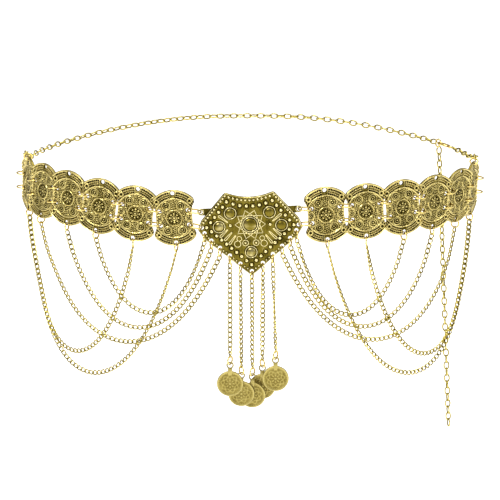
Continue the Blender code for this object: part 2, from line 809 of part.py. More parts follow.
def build_closing(places):
    """The rings in the end plates' top holes, the chains to the clasp, and the free end."""
    rings, tops, end_s = {}, {}, {}
    tilt = math.radians(END_RING_TILT_DEG)
    for side, letter in ((-1, "l"), (1, "r")):
        end_s[letter] = side * PLATE_SEATS[letter][-1][0]
        place = places[f"plate_{letter}{PLATE_COUNT}"]
        hole = place @ Vector((0.0, 0.0, PLATE_END_HOLE_Z))
        back = side * level(place.col[0])
        reach = (back * math.sin(tilt) - DOWN * math.cos(tilt)).normalized()
        turn = side * END_RING_TURN_DEG
        rings[letter], tops[letter] = hole_ring(hole, level(place.col[1]), turn, reach)
    clasp = clasp_place()
    along = clasp.col[0].to_3d()
    main_ring = clasp @ Vector((CLASP_RING_X + MAIN_RING_RADIUS, 0.0, 0.0))
    main = (main_ring, along, clasp.col[1].to_3d(), MAIN_RING_RADIUS)
    far_s = CLASP_TAIL_S + CLASP_RING_X + 2 * MAIN_RING_RADIUS - 2 * HALF_GIRTH
    back = closing_points(end_s["l"], far_s, tops["l"])
    chain = tube("back_chain", back, CABLE_TUBE)
    chain_with_rings("back_chain", [chain], [rings["l"], main])
    short = closing_points(end_s["r"], CLASP_TAIL_S - CLASP_GAP, tops["r"])
    chain = tube("clasp_chain", short, CABLE_TUBE)
    chain_with_rings("clasp_chain", [chain], [rings["r"]])
    count = round(EXTENDER_LENGTH / POINT_STEP) + 1
    below = DOWN * (MAIN_RING_RADIUS + WIRE + CLEAR)
    start = main_ring - along * EXTENDER_OFFSET + below
    fall = Vector((EXTENDER_DRIFT, 0.0, -EXTENDER_LENGTH))
    points = [start + fall * (k / (count - 1)) for k in range(count)]
    tube("extender_chain", points, CABLE_TUBE)


def closing_points(start_s, end_s, top):
    """A chain round the back from the top of an end plate's ring, easing to its own place."""
    count = max(4, round(abs(end_s - start_s) / POINT_STEP) + 1)
    whole = 2 * HALF_GIRTH
    points = []
    for k in range(count):
        s = start_s + (end_s - start_s) * k / (count - 1)
        wrapped = s + whole if s < -HALF_GIRTH else s
        point = hip_point(wrapped, chain_z(wrapped))
        if k == 0:
            shift = top - point
        points.append(point + shift * (1 - ease(abs(s - start_s) / SETTLE_LENGTH)))
    return points


def main():
    clear_scene()
    places = plate_places()
    build_plates(places)
    build_plaque()
    build_side_rings(places)
    under_plates = plate_rings(places)
    under_plaque = plaque_rings()
    build_swags(under_plates, under_plaque)
    build_pendants(under_plaque)
    build_closing(places)
    build_clasp()


main()
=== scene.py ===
"""Looks of a metal waist chain in its worn form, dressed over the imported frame.

Twelve cast plates and a pentagonal plaque are joined by jump rings round a hip that isn't built.
Swag chains hang from the plates, five pendant chains with coins hang from the plaque, and a cable
chain with a spring clasp closes the back. Every piece is a surface worked out with numpy and
dressed in an antiqued gold finish. Units are metres, +Z is up and the front faces -Y.
"""

import logging
import math
from dataclasses import dataclass, field
from enum import Enum

import bmesh
import bpy
import numpy as np
from mathutils import Matrix, Vector


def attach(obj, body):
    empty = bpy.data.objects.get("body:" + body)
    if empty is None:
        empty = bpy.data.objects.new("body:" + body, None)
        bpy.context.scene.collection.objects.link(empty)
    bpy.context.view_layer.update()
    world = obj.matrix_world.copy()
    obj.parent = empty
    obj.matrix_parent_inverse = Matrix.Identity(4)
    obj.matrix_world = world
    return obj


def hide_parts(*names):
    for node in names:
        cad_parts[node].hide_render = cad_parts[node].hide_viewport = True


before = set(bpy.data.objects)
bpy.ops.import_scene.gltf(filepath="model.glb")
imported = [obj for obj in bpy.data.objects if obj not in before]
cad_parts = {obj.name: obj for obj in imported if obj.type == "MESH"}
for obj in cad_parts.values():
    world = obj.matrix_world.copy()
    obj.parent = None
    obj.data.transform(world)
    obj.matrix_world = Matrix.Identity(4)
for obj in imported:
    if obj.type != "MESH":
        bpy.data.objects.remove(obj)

MM = 0.001
BELT = "belt"
SIDES = ((-1, "l"), (1, "r"))
UP = np.array([0.0, 0.0, 1.0])
# the per-vertex value of wear, with painted shade on some pieces, that the finishes' colour ramps
# read
WEAR_AND_SHADE = "wear"
MOTTLE = "mottle"
# wear of the castings' backs, and the share of the mottling there
BACK_WEAR = 0.62
BACK_MOTTLE = 0.22
SHARP_ANGLE = math.radians(50.0)
BACKWARDS = np.array([0.0, 1.0, 0.0])

# short names of the types of arrays and tables
Array = np.ndarray
Pairs = tuple[tuple[float, float], ...]
Triples = tuple[tuple[float, float, float], ...]

log = logging.getLogger("waist_chain")


# Shapes as arrays


@dataclass
class Shell:
    """A surface as arrays, with a value from 0 in a recess to 1 on a rubbed ridge, which on some
    pieces also holds painted shade.
    """

    points: Array
    quads: Array
    tris: Array
    wear: Array

    def facing_out(self) -> "Shell":
        """Turns every face round if the enclosed volume comes out negative.

        Returns:
            The same shell. The volume is the sum of corner triple products over its triangles.
        """
        halves = [self.quads[:, [0, 1, 2]], self.quads[:, [0, 2, 3]], self.tris]
        corners = self.points[np.concatenate(halves)]
        volume = np.einsum(
            "ij,ij->i", corners[:, 0], np.cross(corners[:, 1], corners[:, 2])
        )
        if volume.sum() < 0:
            self.quads = self.quads[:, ::-1]
            self.tris = self.tris[:, ::-1]
        return self

    def placed(self, place: Array) -> "Shell":
        """A copy moved by a 4 by 4 matrix."""
        points = self.points @ place[:3, :3].T + place[:3, 3]
        return Shell(points, self.quads, self.tris, self.wear)

    def repeated(self, origins: Array, axes: Array) -> "Shell":
        """Copies of the shell, one for each origin and set of axes.

        Args:
            origins: (n, 3) places of the copies.
            axes: (n, 3, 3) with the copy's x, y and z directions as rows.

        Returns:
            One shell with all the copies: origin + x * axis 0 + y * axis 1 + z * axis 2.
        """
        count, size = len(origins), len(self.points)
        points = origins[:, None, :] + np.einsum("kj,nji->nki", self.points, axes)
        shift = (np.arange(count) * size)[:, None, None]
        quads = (self.quads[None] + shift).reshape(-1, 4)
        tris = (self.tris[None] + shift).reshape(-1, 3)
        return Shell(points.reshape(-1, 3), quads, tris, np.tile(self.wear, count))


def merged(shells: list[Shell]) -> Shell:
    """Several shells as one, their faces renumbered.

    Args:
        shells: the shells to join.

    Returns:
        One shell with all of them.
    """
    starts = np.cumsum([0] + [len(s.points) for s in shells[:-1]])
    return Shell(
        np.concatenate([s.points for s in shells]),
        np.concatenate([s.quads + k for s, k in zip(shells, starts)]),
        np.concatenate([s.tris + k for s, k in zip(shells, starts)]),
        np.concatenate([s.wear for s in shells]),
    )


def unit(vectors: Array) -> Array:
    """Vectors scaled to length one."""
    return vectors / np.linalg.norm(vectors, axis=-1, keepdims=True)


def squared(vectors: Array, axis: Array) -> Array:
    """Unit vectors made square to unit axes, by taking off the part that lies along them."""
    return unit(vectors - np.sum(vectors * axis, axis=1, keepdims=True) * axis)


def ease(x: Array) -> Array:
    """A smooth step from 0 to 1: 3 x squared less 2 x cubed, held at its ends."""
    x = np.clip(x, 0.0, 1.0)
    return x * x * (3.0 - 2.0 * x)


def ridge(distance: Array, half_width: float) -> Array:
    """A rounded ridge along a line: a Gaussian of the distance from it."""
    return np.exp(-((distance / half_width) ** 2))


def dome(distance: Array, radius: float) -> Array:
    """A round bead: the square root of 1 less the squared share of its radius."""
    return np.sqrt(np.clip(1.0 - (distance / radius) ** 2, 0.0, 1.0))


def wave(phase: Array) -> Array:
    """A cosine wave lifted to run from 0 to 1."""
    return 0.5 + 0.5 * np.cos(phase)


def full_turn(count: int) -> Array:
    """Angles in radians at even steps round a circle."""
    return 2 * math.pi * np.arange(count) / count


def as_points(x: Array, y: Array | float, z: Array | float) -> Array:
    """Coordinates joined to points. Any of them may be one value for all."""
    return np.stack(np.broadcast_arrays(x, y, z), axis=-1)


def grid_quads(rows: int, columns: int, close_rows: bool, close_columns: bool) -> Array:
    """Faces of a grid of points numbered row by row.

    Args:
        rows: number of rows of points.
        columns: number of points in a row.
        close_rows: whether the last row joins the first.
        close_columns: whether each row is a loop.

    Returns:
        (n, 4) corner numbers.
    """
    row = np.arange(rows if close_rows else rows - 1)
    column = np.arange(columns if close_columns else columns - 1)
    row, column = np.meshgrid(row, column, indexing="ij")
    below, beside = (row + 1) % rows, (column + 1) % columns
    corners = [
        row * columns + column,
        row * columns + beside,
        below * columns + beside,
        below * columns + column,
    ]
    return np.stack(corners, axis=-1).reshape(-1, 4)


def fan(loop: Array, hub: int) -> Array:
    """Triangles from a closed loop of points to one hub point."""
    hubs = np.full(len(loop), hub)
    return np.stack([loop, np.roll(loop, -1), hubs], axis=-1)


def end_fans(count: int, size: int) -> Array:
    """Fans that close the first and last ring of points, to the two hubs that follow them.

    Args:
        count: points in a ring.
        size: points in all the rings.

    Returns:
        (2 * count, 3) corner numbers.
    """
    ring = np.arange(count)
    return np.concatenate([fan(ring[::-1], size), fan(size - count + ring, size + 1)])


def sweep(
    path: Array,
    halves: Array,
    upright: Array,
    sides: int,
    closed: bool,
) -> Shell:
    """An elliptical profile carried along a path.

    Each section is centre + cos(a) * first half size * across + sin(a) * second half size *
    normal, where normal is upright made square to the path and across is square to both.

    Args:
        path: (n, 3) centre line.
        halves: (n, 2) half sizes of the sections, across and along the normal.
        upright: (n, 3) or (3,) direction that the normals follow.
        sides: corners of each section.
        closed: whether the path is a loop. Open ends are closed with fans.

    Returns:
        A closed shell whose wear value is highest on the side that faces away from the path's
        middle and lowest on the side that faces it, as painted shade inside each loop.
    """
    if closed:
        along = unit(np.roll(path, -1, axis=0) - np.roll(path, 1, axis=0))
    else:
        along = unit(np.gradient(path, axis=0))
    upright = np.broadcast_to(upright, path.shape)
    normal = squared(upright, along)
    across = np.cross(along, normal)
    turn = full_turn(sides)
    offset = (
        np.cos(turn)[None, :, None] * (halves[:, :1] * across)[:, None, :]
        + np.sin(turn)[None, :, None] * (halves[:, 1:] * normal)[:, None, :]
    )
    points = (path[:, None, :] + offset).reshape(-1, 3)
    # painted shade: each section is darker on the side that faces the path's middle, the inner
    # side of a link or ring
    outwards = np.einsum("nsi,ni->ns", unit(offset), unit(path - path.mean(axis=0) + 1e-9))
    wear = (0.68 + 0.30 * outwards).reshape(-1)
    quads = grid_quads(len(path), sides, closed, True)
    tris = np.empty((0, 3), dtype=int)
    if not closed:
        size = len(points)
        points = np.concatenate([points, path[:1], path[-1:]])
        wear = np.concatenate([wear, [0.5, 0.5]])
        tris = end_fans(sides, size)[:, ::-1]
        quads = quads[:, ::-1]
    return Shell(points, quads, tris, wear).facing_out()


def turned(profile: Array, wear: Array, sides: int) -> Shell:
    """A profile turned about the -Y axis: (r cos a, -height, r sin a), with poles at both ends.

    Args:
        profile: (k, 2) radius and height, from the axis at the foot to the axis at the crown.
        wear: (k,) wear at each point of the profile.
        sides: number of segments.

    Returns:
        A closed shell.
    """
    turn = full_turn(sides)
    radius, height = profile[1:-1, :1], profile[1:-1, 1:]
    rings = as_points(radius * np.cos(turn), -height, radius * np.sin(turn))
    poles = np.array([[0.0, -profile[0, 1], 0.0], [0.0, -profile[-1, 1], 0.0]])
    points = np.concatenate([rings.reshape(-1, 3), poles])
    quads = grid_quads(len(profile) - 2, sides, False, True)
    tris = end_fans(sides, len(points) - 2)
    values = np.concatenate([np.repeat(wear[1:-1], sides), wear[[0, -1]]])
    return Shell(points, quads, tris, values).facing_out()


def pillow(outline: Array, levels: Array, wear: Array) -> Shell:
    """A flat piece with eased edges, facing -Y: its outline drawn in towards its middle in steps.

    Args:
        outline: (n, 2) x and z of its edge.
        levels: (k, 2) scale of the outline and height, from the back to the face.
        wear: (k,) wear at each level.

    Returns:
        A closed shell: middle + scale * (outline - middle) at each height, with fans at its ends.
    """
    middle = outline.mean(axis=0)
    flat = middle + levels[:, None, :1] * (outline - middle)
    rings = as_points(flat[..., 0], -levels[:, 1:], flat[..., 1]).reshape(-1, 3)
    hubs = np.array([[middle[0], -h, middle[1]] for h in levels[[0, -1], 1]])
    count = len(outline)
    quads = grid_quads(len(levels), count, False, True)
    tris = end_fans(count, len(rings))
    values = np.concatenate([np.repeat(wear, count), wear[[0, -1]]])
    return Shell(np.concatenate([rings, hubs]), quads, tris, values).facing_out()


def wire_ring(radius: float, wire: float, stations: int, sides: int, gap: float) -> Shell:
    """A round wire bent to a ring in the XY plane, with a fine seam where its ends meet.

    Args:
        radius: radius of the wire's centre line.
        wire: half thickness of the wire.
        stations: sections round the ring.
        sides: corners of each section.
        gap: width of the seam.

    Returns:
        A closed shell with its seam at +X.
    """
    half = gap / radius / 2
    turn = np.linspace(half, 2 * math.pi - half, stations)
    path = as_points(np.cos(turn), np.sin(turn), 0.0) * radius
    return sweep(path, np.full((stations, 2), wire), UP, sides, False)


def cast_shell(front: Array, thick: float, wear: Array, edge: float) -> Shell:
    """A closed casting from the grid of its face: a rounded edge and a flat back are added.

    Args:
        front: (rows, columns, 3) points of the face, towards -Y.
        thick: thickness of the casting, with its middle at y = 0.
        wear: (rows, columns) wear of the face.
        edge: how far the back's corner is eased.

    Returns:
        A closed shell. The back is the face's outline drawn in towards its middle in steps.
    """
    rows, columns = front.shape[:2]
    number = np.arange(rows * columns).reshape(rows, columns)
    loop = np.concatenate(
        [number[0, :-1], number[:-1, -1], number[-1, :0:-1], number[:0:-1, 0]]
    )
    face = front.reshape(-1, 3)
    rim = face[loop]
    middle = rim.mean(axis=0)
    reach = np.linalg.norm((rim - middle)[:, [0, 2]], axis=1).max()
    scales = [1.0, 1.0 - edge / reach, 0.75, 0.4]
    depths = [thick / 2 - edge, thick / 2, thick / 2, thick / 2]
    drawn_in = [middle + (rim - middle) * scale for scale in scales]
    rings = [as_points(ring[:, 0], depth, ring[:, 2]) for ring, depth in zip(drawn_in, depths)]
    hub = np.array([[middle[0], thick / 2, middle[2]]])
    points = np.concatenate([face, *rings, hub])
    size, count = len(face), len(loop)
    side = np.arange(count)
    loops = [loop] + [size + k * count + side for k in range(len(rings))]
    bands = [
        np.stack([a, np.roll(a, -1), np.roll(b, -1), b], axis=-1)
        for a, b in zip(loops, loops[1:])
    ]
    quads = np.concatenate([grid_quads(rows, columns, False, False)[:, ::-1], *bands])
    values = np.concatenate([wear.reshape(-1), np.full(len(points) - size, BACK_WEAR)])
    return Shell(points, quads, fan(loops[-1], len(points) - 1), values).facing_out()


def new_mesh(name: str, shell: Shell) -> bpy.types.Mesh:
    """A mesh from a shell, smooth but for its sharp corners.

    Args:
        name: the mesh's name.
        shell: its points, faces and wear.

    Returns:
        The mesh, with its wear as an attribute.
    """
    mesh = bpy.data.meshes.new(name)
    corners = np.concatenate([shell.quads.ravel(), shell.tris.ravel()]).astype(np.int32)
    totals = np.concatenate([np.full(len(shell.quads), 4), np.full(len(shell.tris), 3)])
    starts = np.concatenate([[0], np.cumsum(totals)[:-1]]).astype(np.int32)
    mesh.vertices.add(len(shell.points))
    mesh.vertices.foreach_set("co", shell.points.astype(np.float32).ravel())
    mesh.loops.add(len(corners))
    mesh.loops.foreach_set("vertex_index", corners)
    mesh.polygons.add(len(totals))
    mesh.polygons.foreach_set("loop_start", starts)
    mesh.update(calc_edges=True)
    mesh.validate()
    set_wear(mesh, shell.wear)
    mesh.shade_smooth()
    mesh.set_sharp_from_angle(angle=SHARP_ANGLE)
    return mesh


def set_wear(mesh: bpy.types.Mesh, wear: Array, mottle: Array | float = 1.0) -> None:
    """Writes the wear of each vertex into the mesh, and how far its colour is mottled.

    Args:
        mesh: the mesh, with one vertex for each value.
        wear: from 0 in a dark recess to 1 on a rubbed ridge, with painted shade in it on some
            pieces.
        mottle: the share of the finish's mottling, one value or one for each vertex.
    """
    for kind, values in ((WEAR_AND_SHADE, wear), (MOTTLE, np.broadcast_to(mottle, np.shape(wear)))):
        held = mesh.attributes.get(kind) or mesh.attributes.new(kind, "FLOAT", "POINT")
        held.data.foreach_set("value", np.clip(values, 0.0, 1.0).astype(np.float32))


def linked(name: str, data: bpy.types.ID) -> bpy.types.Object:
    """A new object of that data, linked into the scene.

    Args:
        name: the object's name.
        data: its mesh, camera or lamp.

    Returns:
        The new object.
    """
    made = bpy.data.objects.new(name, data)
    bpy.context.scene.collection.objects.link(made)
    return made


def add_piece(
    name: str, shape: Shell | bpy.types.Mesh, finish: "Finish", node: str = "", body: str = BELT
) -> bpy.types.Object:
    """Links a finished piece, dresses it and makes it ride on its body.

    Args:
        name: the piece's name.
        shape: its shell or mesh, in place in the row frame.
        finish: the metal finish that it wears.
        node: the CAD node that it replaces, if any.
        body: the CAD body that carries it.

    Returns:
        The new object.
    """
    mesh = new_mesh(name, shape) if isinstance(shape, Shell) else shape
    obj = linked(name, mesh)
    mesh.materials.clear()
    mesh.materials.append(finish.value.material())
    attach(obj, body)
    if node:
        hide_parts(node)
    log.info("%s: %d faces", name, len(mesh.polygons))
    return obj


def drilled(shell: Shell, holes: list[tuple[float, float]], radius: float) -> bpy.types.Mesh:
    """A casting's mesh with round holes cut through it along Y.

    Args:
        shell: the casting before it is drilled.
        holes: x and z of each hole.
        radius: radius of the holes.

    Returns:
        The drilled mesh, still in the casting's own place.
    """
    bm = bmesh.new()
    drill = {"segments": 20, "radius1": radius, "radius2": radius, "depth": 20.0 * MM}
    for x, z in holes:
        spot = Matrix.Translation((x, 0.0, z)) @ Matrix.Rotation(math.pi / 2, 4, "X")
        bmesh.ops.create_cone(bm, cap_ends=True, matrix=spot, **drill)
    tool_mesh = bpy.data.meshes.new("drills")
    bm.to_mesh(tool_mesh)
    bm.free()
    tool, blank = linked("drills", tool_mesh), linked("blank", new_mesh("blank", shell))
    cut = blank.modifiers.new("holes", "BOOLEAN")
    cut.operation = "DIFFERENCE"
    cut.solver = "EXACT"
    cut.object = tool
    graph = bpy.context.evaluated_depsgraph_get()
    mesh = bpy.data.meshes.new_from_object(blank.evaluated_get(graph))
    for obj in (tool, blank):
        bpy.data.objects.remove(obj, do_unlink=True)
    mesh.set_sharp_from_angle(angle=SHARP_ANGLE)
    return mesh


def local_points(mesh: bpy.types.Mesh) -> Array:
    """Places of a mesh's vertices.

    Args:
        mesh: the mesh to read.

    Returns:
        (n, 3) coordinates in the mesh's own frame.
    """
    flat = np.empty(len(mesh.vertices) * 3, dtype=np.float32)
    mesh.vertices.foreach_get("co", flat)
    return flat.reshape(-1, 3).astype(float)


# Finishes


def add_node(
    tree: bpy.types.NodeTree, kind: str, values: dict[str, float] | None = None
) -> bpy.types.Node:
    """A shader node with values set on its named inputs.

    Args:
        tree: the node tree that it is added to.
        kind: the last part of the node type's name.
        values: a value for each input that is set.

    Returns:
        The new node.
    """
    made = tree.nodes.new(f"ShaderNode{kind}")
    for name, value in (values or {}).items():
        made.inputs[name].default_value = value
    return made


@dataclass(frozen=True)
class MetalFinish:
    """An antiqued metal: a dark recess colour, the body colour and a rubbed ridge colour.

    The wear attribute, which on some pieces also holds painted shade, is shifted by a soft noise
    and runs through a colour ramp, and recesses are rougher than ridges. The mottle attribute is
    the share of that noise, so that plain backs stay calm. A fine noise gives the cast grain as a
    bump.
    """

    name: str
    slot: str
    recess: tuple[float, float, float]
    body: tuple[float, float, float]
    rubbed: tuple[float, float, float]
    smooth: float
    rough: float
    mottle: float = 0.16
    grain_scale: float = 2600.0
    grain_depth: float = 0.00003
    stops: tuple[float, float, float] = (0.12, 0.50, 0.86)
    mottle_scale: float = 150.0

    def material(self) -> bpy.types.Material:
        """The finish as a material, made once and then shared.

        Returns:
            A node material that reads Object coordinates and the two attributes.
        """
        found = bpy.data.materials.get(self.name)
        if found:
            return found
        made = bpy.data.materials.new(self.name)
        made.use_nodes = True
        tree = made.node_tree
        shader = tree.nodes["Principled BSDF"]
        shader.inputs["Metallic"].default_value = 1.0
        place = add_node(tree, "TexCoord")
        soft = add_node(tree, "TexNoise", {"Scale": self.mottle_scale, "Detail": 4.0})
        span = {"From Min": 0.3, "From Max": 0.7, "To Min": -self.mottle, "To Max": self.mottle}
        shift = add_node(tree, "MapRange", span)
        worn, share = add_node(tree, "Attribute"), add_node(tree, "Attribute")
        worn.attribute_name, share.attribute_name = WEAR_AND_SHADE, MOTTLE
        total, mottled = add_node(tree, "Math"), add_node(tree, "Math")
        total.operation, mottled.operation = "ADD", "MULTIPLY"
        ramp = add_node(tree, "ValToRGB")
        ramp.color_ramp.interpolation = "EASE"
        while len(ramp.color_ramp.elements) < len(self.stops):
            ramp.color_ramp.elements.new(0.5)
        colours = (self.recess, self.body, self.rubbed)
        for element, stop, colour in zip(ramp.color_ramp.elements, self.stops, colours):
            element.position = stop
            element.color = (*colour, 1.0)
        span = {"From Min": 0.1, "From Max": 0.9, "To Min": self.rough, "To Max": self.smooth}
        gloss = add_node(tree, "MapRange", span)
        grain = add_node(tree, "TexNoise", {"Scale": self.grain_scale, "Detail": 3.0})
        bump = add_node(tree, "Bump", {"Strength": 0.6, "Distance": self.grain_depth})
        joints = (
            (place, "Object", soft, "Vector"),
            (soft, "Fac", shift, "Value"),
            (worn, "Fac", total, 0),
            (shift, "Result", mottled, 0),
            (share, "Fac", mottled, 1),
            (mottled, "Value", total, 1),
            (total, "Value", ramp, "Fac"),
            (ramp, "Color", shader, "Base Color"),
            (total, "Value", gloss, "Value"),
            (gloss, "Result", shader, "Roughness"),
            (place, "Object", grain, "Vector"),
            (grain, "Fac", bump, "Height"),
            (bump, "Normal", shader, "Normal"),
        )
        for source, out, target, into in joints:
            tree.links.new(source.outputs[out], target.inputs[into])
        return made


class Finish(Enum):
    """The finishes of the belt, by the kind of piece that wears them."""

    PLATE = MetalFinish(
        "plate_metal", "plate_gold",
        recess=(0.016, 0.012, 0.001), body=(0.145, 0.106, 0.009), rubbed=(0.68, 0.56, 0.21),
        smooth=0.26, rough=0.52,
    )
    PLAQUE = MetalFinish(
        "plaque_metal", "plaque_gold",
        recess=(0.030, 0.022, 0.002), body=(0.195, 0.150, 0.019), rubbed=(0.86, 0.75, 0.36),
        smooth=0.22, rough=0.46,
    )
    RING = MetalFinish(
        "ring_wire_metal", "ring_gold",
        recess=(0.24, 0.16, 0.03), body=(0.66, 0.46, 0.09), rubbed=(0.92, 0.72, 0.24),
        smooth=0.16, rough=0.30, mottle=0.08, grain_scale=1800.0, grain_depth=0.000012,
    )
    CHAIN = MetalFinish(
        "chain_metal", "chain_gold",
        recess=(0.026, 0.020, 0.003), body=(0.22, 0.168, 0.024), rubbed=(0.60, 0.485, 0.12),
        smooth=0.22, rough=0.38, mottle=0.12, grain_scale=1800.0, grain_depth=0.000015,
    )
    COIN = MetalFinish(
        "coin_metal", "coin_gold",
        recess=(0.24, 0.185, 0.045), body=(0.43, 0.345, 0.095), rubbed=(0.53, 0.44, 0.15),
        smooth=0.40, rough=0.58, mottle=0.14, grain_scale=3400.0, grain_depth=0.00005,
    )


# The plan of the belt and where its pieces sit


@dataclass
class HipPlan:
    """The level outline that the belt follows: a half ellipse in front, a rounder one behind."""

    half_width: float = 0.168
    front: float = 0.110
    back: float = 0.122
    samples: int = 4001
    step: float = 0.0005
    s: Array = field(init=False)
    x: Array = field(init=False)
    y: Array = field(init=False)

    def __post_init__(self) -> None:
        """Tables of arc length, x and y along the right half, from the front to the back."""
        turn = np.linspace(0.0, math.pi, self.samples)
        depth = np.where(turn < math.pi / 2, self.front, self.back)
        self.x = self.half_width * np.sin(turn)
        self.y = -depth * np.cos(turn)
        steps = np.hypot(np.diff(self.x), np.diff(self.y))
        self.s = np.concatenate([[0.0], np.cumsum(steps)])

    @property
    def half_girth(self) -> float:
        """Arc length from the middle of the front to the middle of the back."""
        return float(self.s[-1])

    def at(self, s: Array, z: Array, out: Array) -> tuple[Array, ...]:
        """Points on the plan and their directions.

        Args:
            s: arc lengths from the middle of the front, growing to the right.
            z: heights.
            out: distances outwards from the plan.

        Returns:
            Points, directions along growing s, and level outward normals, each (n, 3).
        """
        s, z, out = np.broadcast_arrays(np.atleast_1d(s).astype(float), z, out)
        side = np.where(s >= 0, 1.0, -1.0)
        reach = np.abs(s)
        ahead = np.minimum(reach + self.step, self.half_girth)
        behind = np.maximum(reach - self.step, 0.0)
        dx = np.interp(ahead, self.s, self.x) - np.interp(behind, self.s, self.x)
        dy = np.interp(ahead, self.s, self.y) - np.interp(behind, self.s, self.y)
        dy = np.where(reach < self.step, 0.0, dy)
        along = unit(as_points(dx, side * dy, 0.0))
        outward = as_points(along[:, 1], -along[:, 0], 0.0)
        x = side * np.interp(reach, self.s, self.x)
        points = as_points(x, np.interp(reach, self.s, self.y), z)
        return points + outward * out[:, None], along, outward

    def found(self, point: Array, s: float) -> tuple[float, float, float]:
        """A point near arc length s as its arc length, its height and its distance outwards.

        Args:
            point: the point.
            s: an arc length close to it.

        Returns:
            Its arc length, height and distance outwards from the plan.
        """
        near, along, _ = self.at(s, 0.0, 0.0)
        s += float((point - near[0]) @ along[0])
        near, _, outward = self.at(s, 0.0, 0.0)
        return s, float(point[2]), float((point - near[0]) @ outward[0])


HIP = HipPlan()


def about_y(degrees: float) -> Array:
    """A 4 by 4 turn about the Y axis."""
    return np.array(Matrix.Rotation(math.radians(degrees), 4, "Y"))


def about_z(vector: Array, degrees: float) -> Array:
    """A vector turned about the vertical."""
    return np.array(Matrix.Rotation(math.radians(degrees), 3, "Z")) @ vector


def level(axis: Array) -> Array:
    """The level direction of an axis."""
    return unit(axis * [1.0, 1.0, 0.0])


def applied(place: Array, x: float, y: float, z: float) -> Array:
    """A point of a casting's own frame in the row frame."""
    return place[:3, :3] @ np.array([x, y, z]) + place[:3, 3]


@dataclass(frozen=True)
class RingSpot:
    """Where one jump ring sits: its middle, two directions in its plane, and its radius."""

    centre: Array
    first: Array
    second: Array
    radius: float

    @property
    def foot(self) -> Array:
        """The middle of the wire at the far end of the first direction."""
        return self.centre + self.first * self.radius


@dataclass
class JumpRings:
    """Rings of round wire, each with a fine seam turned to a place of its own."""

    wire: float = 0.4 * MM
    look_wire: float = 0.56 * MM
    drop_radius: float = 3.0 * MM
    side_radius: float = 4.9 * MM
    drop_seat: float = 0.45 * MM
    gap: float = 0.12 * MM
    stations: int = 36
    section: int = 8
    turns: tuple[float, ...] = (14.0, -18.0, 20.0, -12.0, 16.0, -20.0)
    seam_turns: tuple[float, float] = (0.6, 2.4)

    def through(
        self, hole: Array, outward: Array, turn: float, reach: Array = -UP
    ) -> RingSpot:
        """A ring through a hole, hung towards reach and turned about the vertical."""
        centre = hole + reach * (self.drop_seat + self.drop_radius)
        return RingSpot(centre, reach, about_z(outward, turn), self.drop_radius)

    def between(self, start: Array, end: Array, outward: Array) -> RingSpot:
        """A level ring through two facing holes."""
        return RingSpot((start + end) / 2, end - start, outward, self.side_radius)

    def shell(self, spots: list[RingSpot], seed: int) -> Shell:
        """The rings at those spots, all of one radius, each turned so that its seam varies.

        Args:
            spots: where the rings sit.
            seed: start of the sequence of turns.

        Returns:
            One shell with all the rings.
        """
        master = wire_ring(spots[0].radius, self.look_wire, self.stations, self.section, self.gap)
        first = unit(np.array([spot.first for spot in spots]))
        second = squared(np.array([spot.second for spot in spots]), first)
        angle = np.random.default_rng(seed).uniform(*self.seam_turns, len(spots))[:, None]
        x_axis = first * np.cos(angle) + second * np.sin(angle)
        y_axis = second * np.cos(angle) - first * np.sin(angle)
        axes = np.stack([x_axis, y_axis, np.cross(x_axis, y_axis)], axis=1)
        return master.repeated(np.array([spot.centre for spot in spots]), axes)


RINGS = JumpRings()


# Castings


class Casting:
    """What the plates and the plaque share: a relief over x and z, drilled, with its wear."""

    thick: float
    hole_radius: float
    corner: float = 0.25 * MM
    face_depth: float = 0.1 * MM

    def cast(self, x: Array, z: Array) -> bpy.types.Mesh:
        """The drilled casting in its own frame, its face towards -Y.

        Args:
            x: (rows, columns) places across the face in millimetres.
            z: (rows, columns) places up the face in millimetres.

        Returns:
            Its mesh. The relief rises from the front of the thickness, and the face's wear
            follows it. The back's wear is even.
        """
        lift = self.thick / 2 + self.relief(x, z) * MM
        front = as_points(x * MM, -lift, z * MM)
        shell = cast_shell(front, self.thick, self.wear(x, z), self.corner)
        mesh = drilled(shell, self.holes(), self.hole_radius)
        points = local_points(mesh)
        face = points[:, 1] < -self.face_depth
        worn = np.where(face, self.wear(*(points[:, [0, 2]].T / MM)), BACK_WEAR)
        set_wear(mesh, worn, np.where(face, 1.0, BACK_MOTTLE))
        return mesh


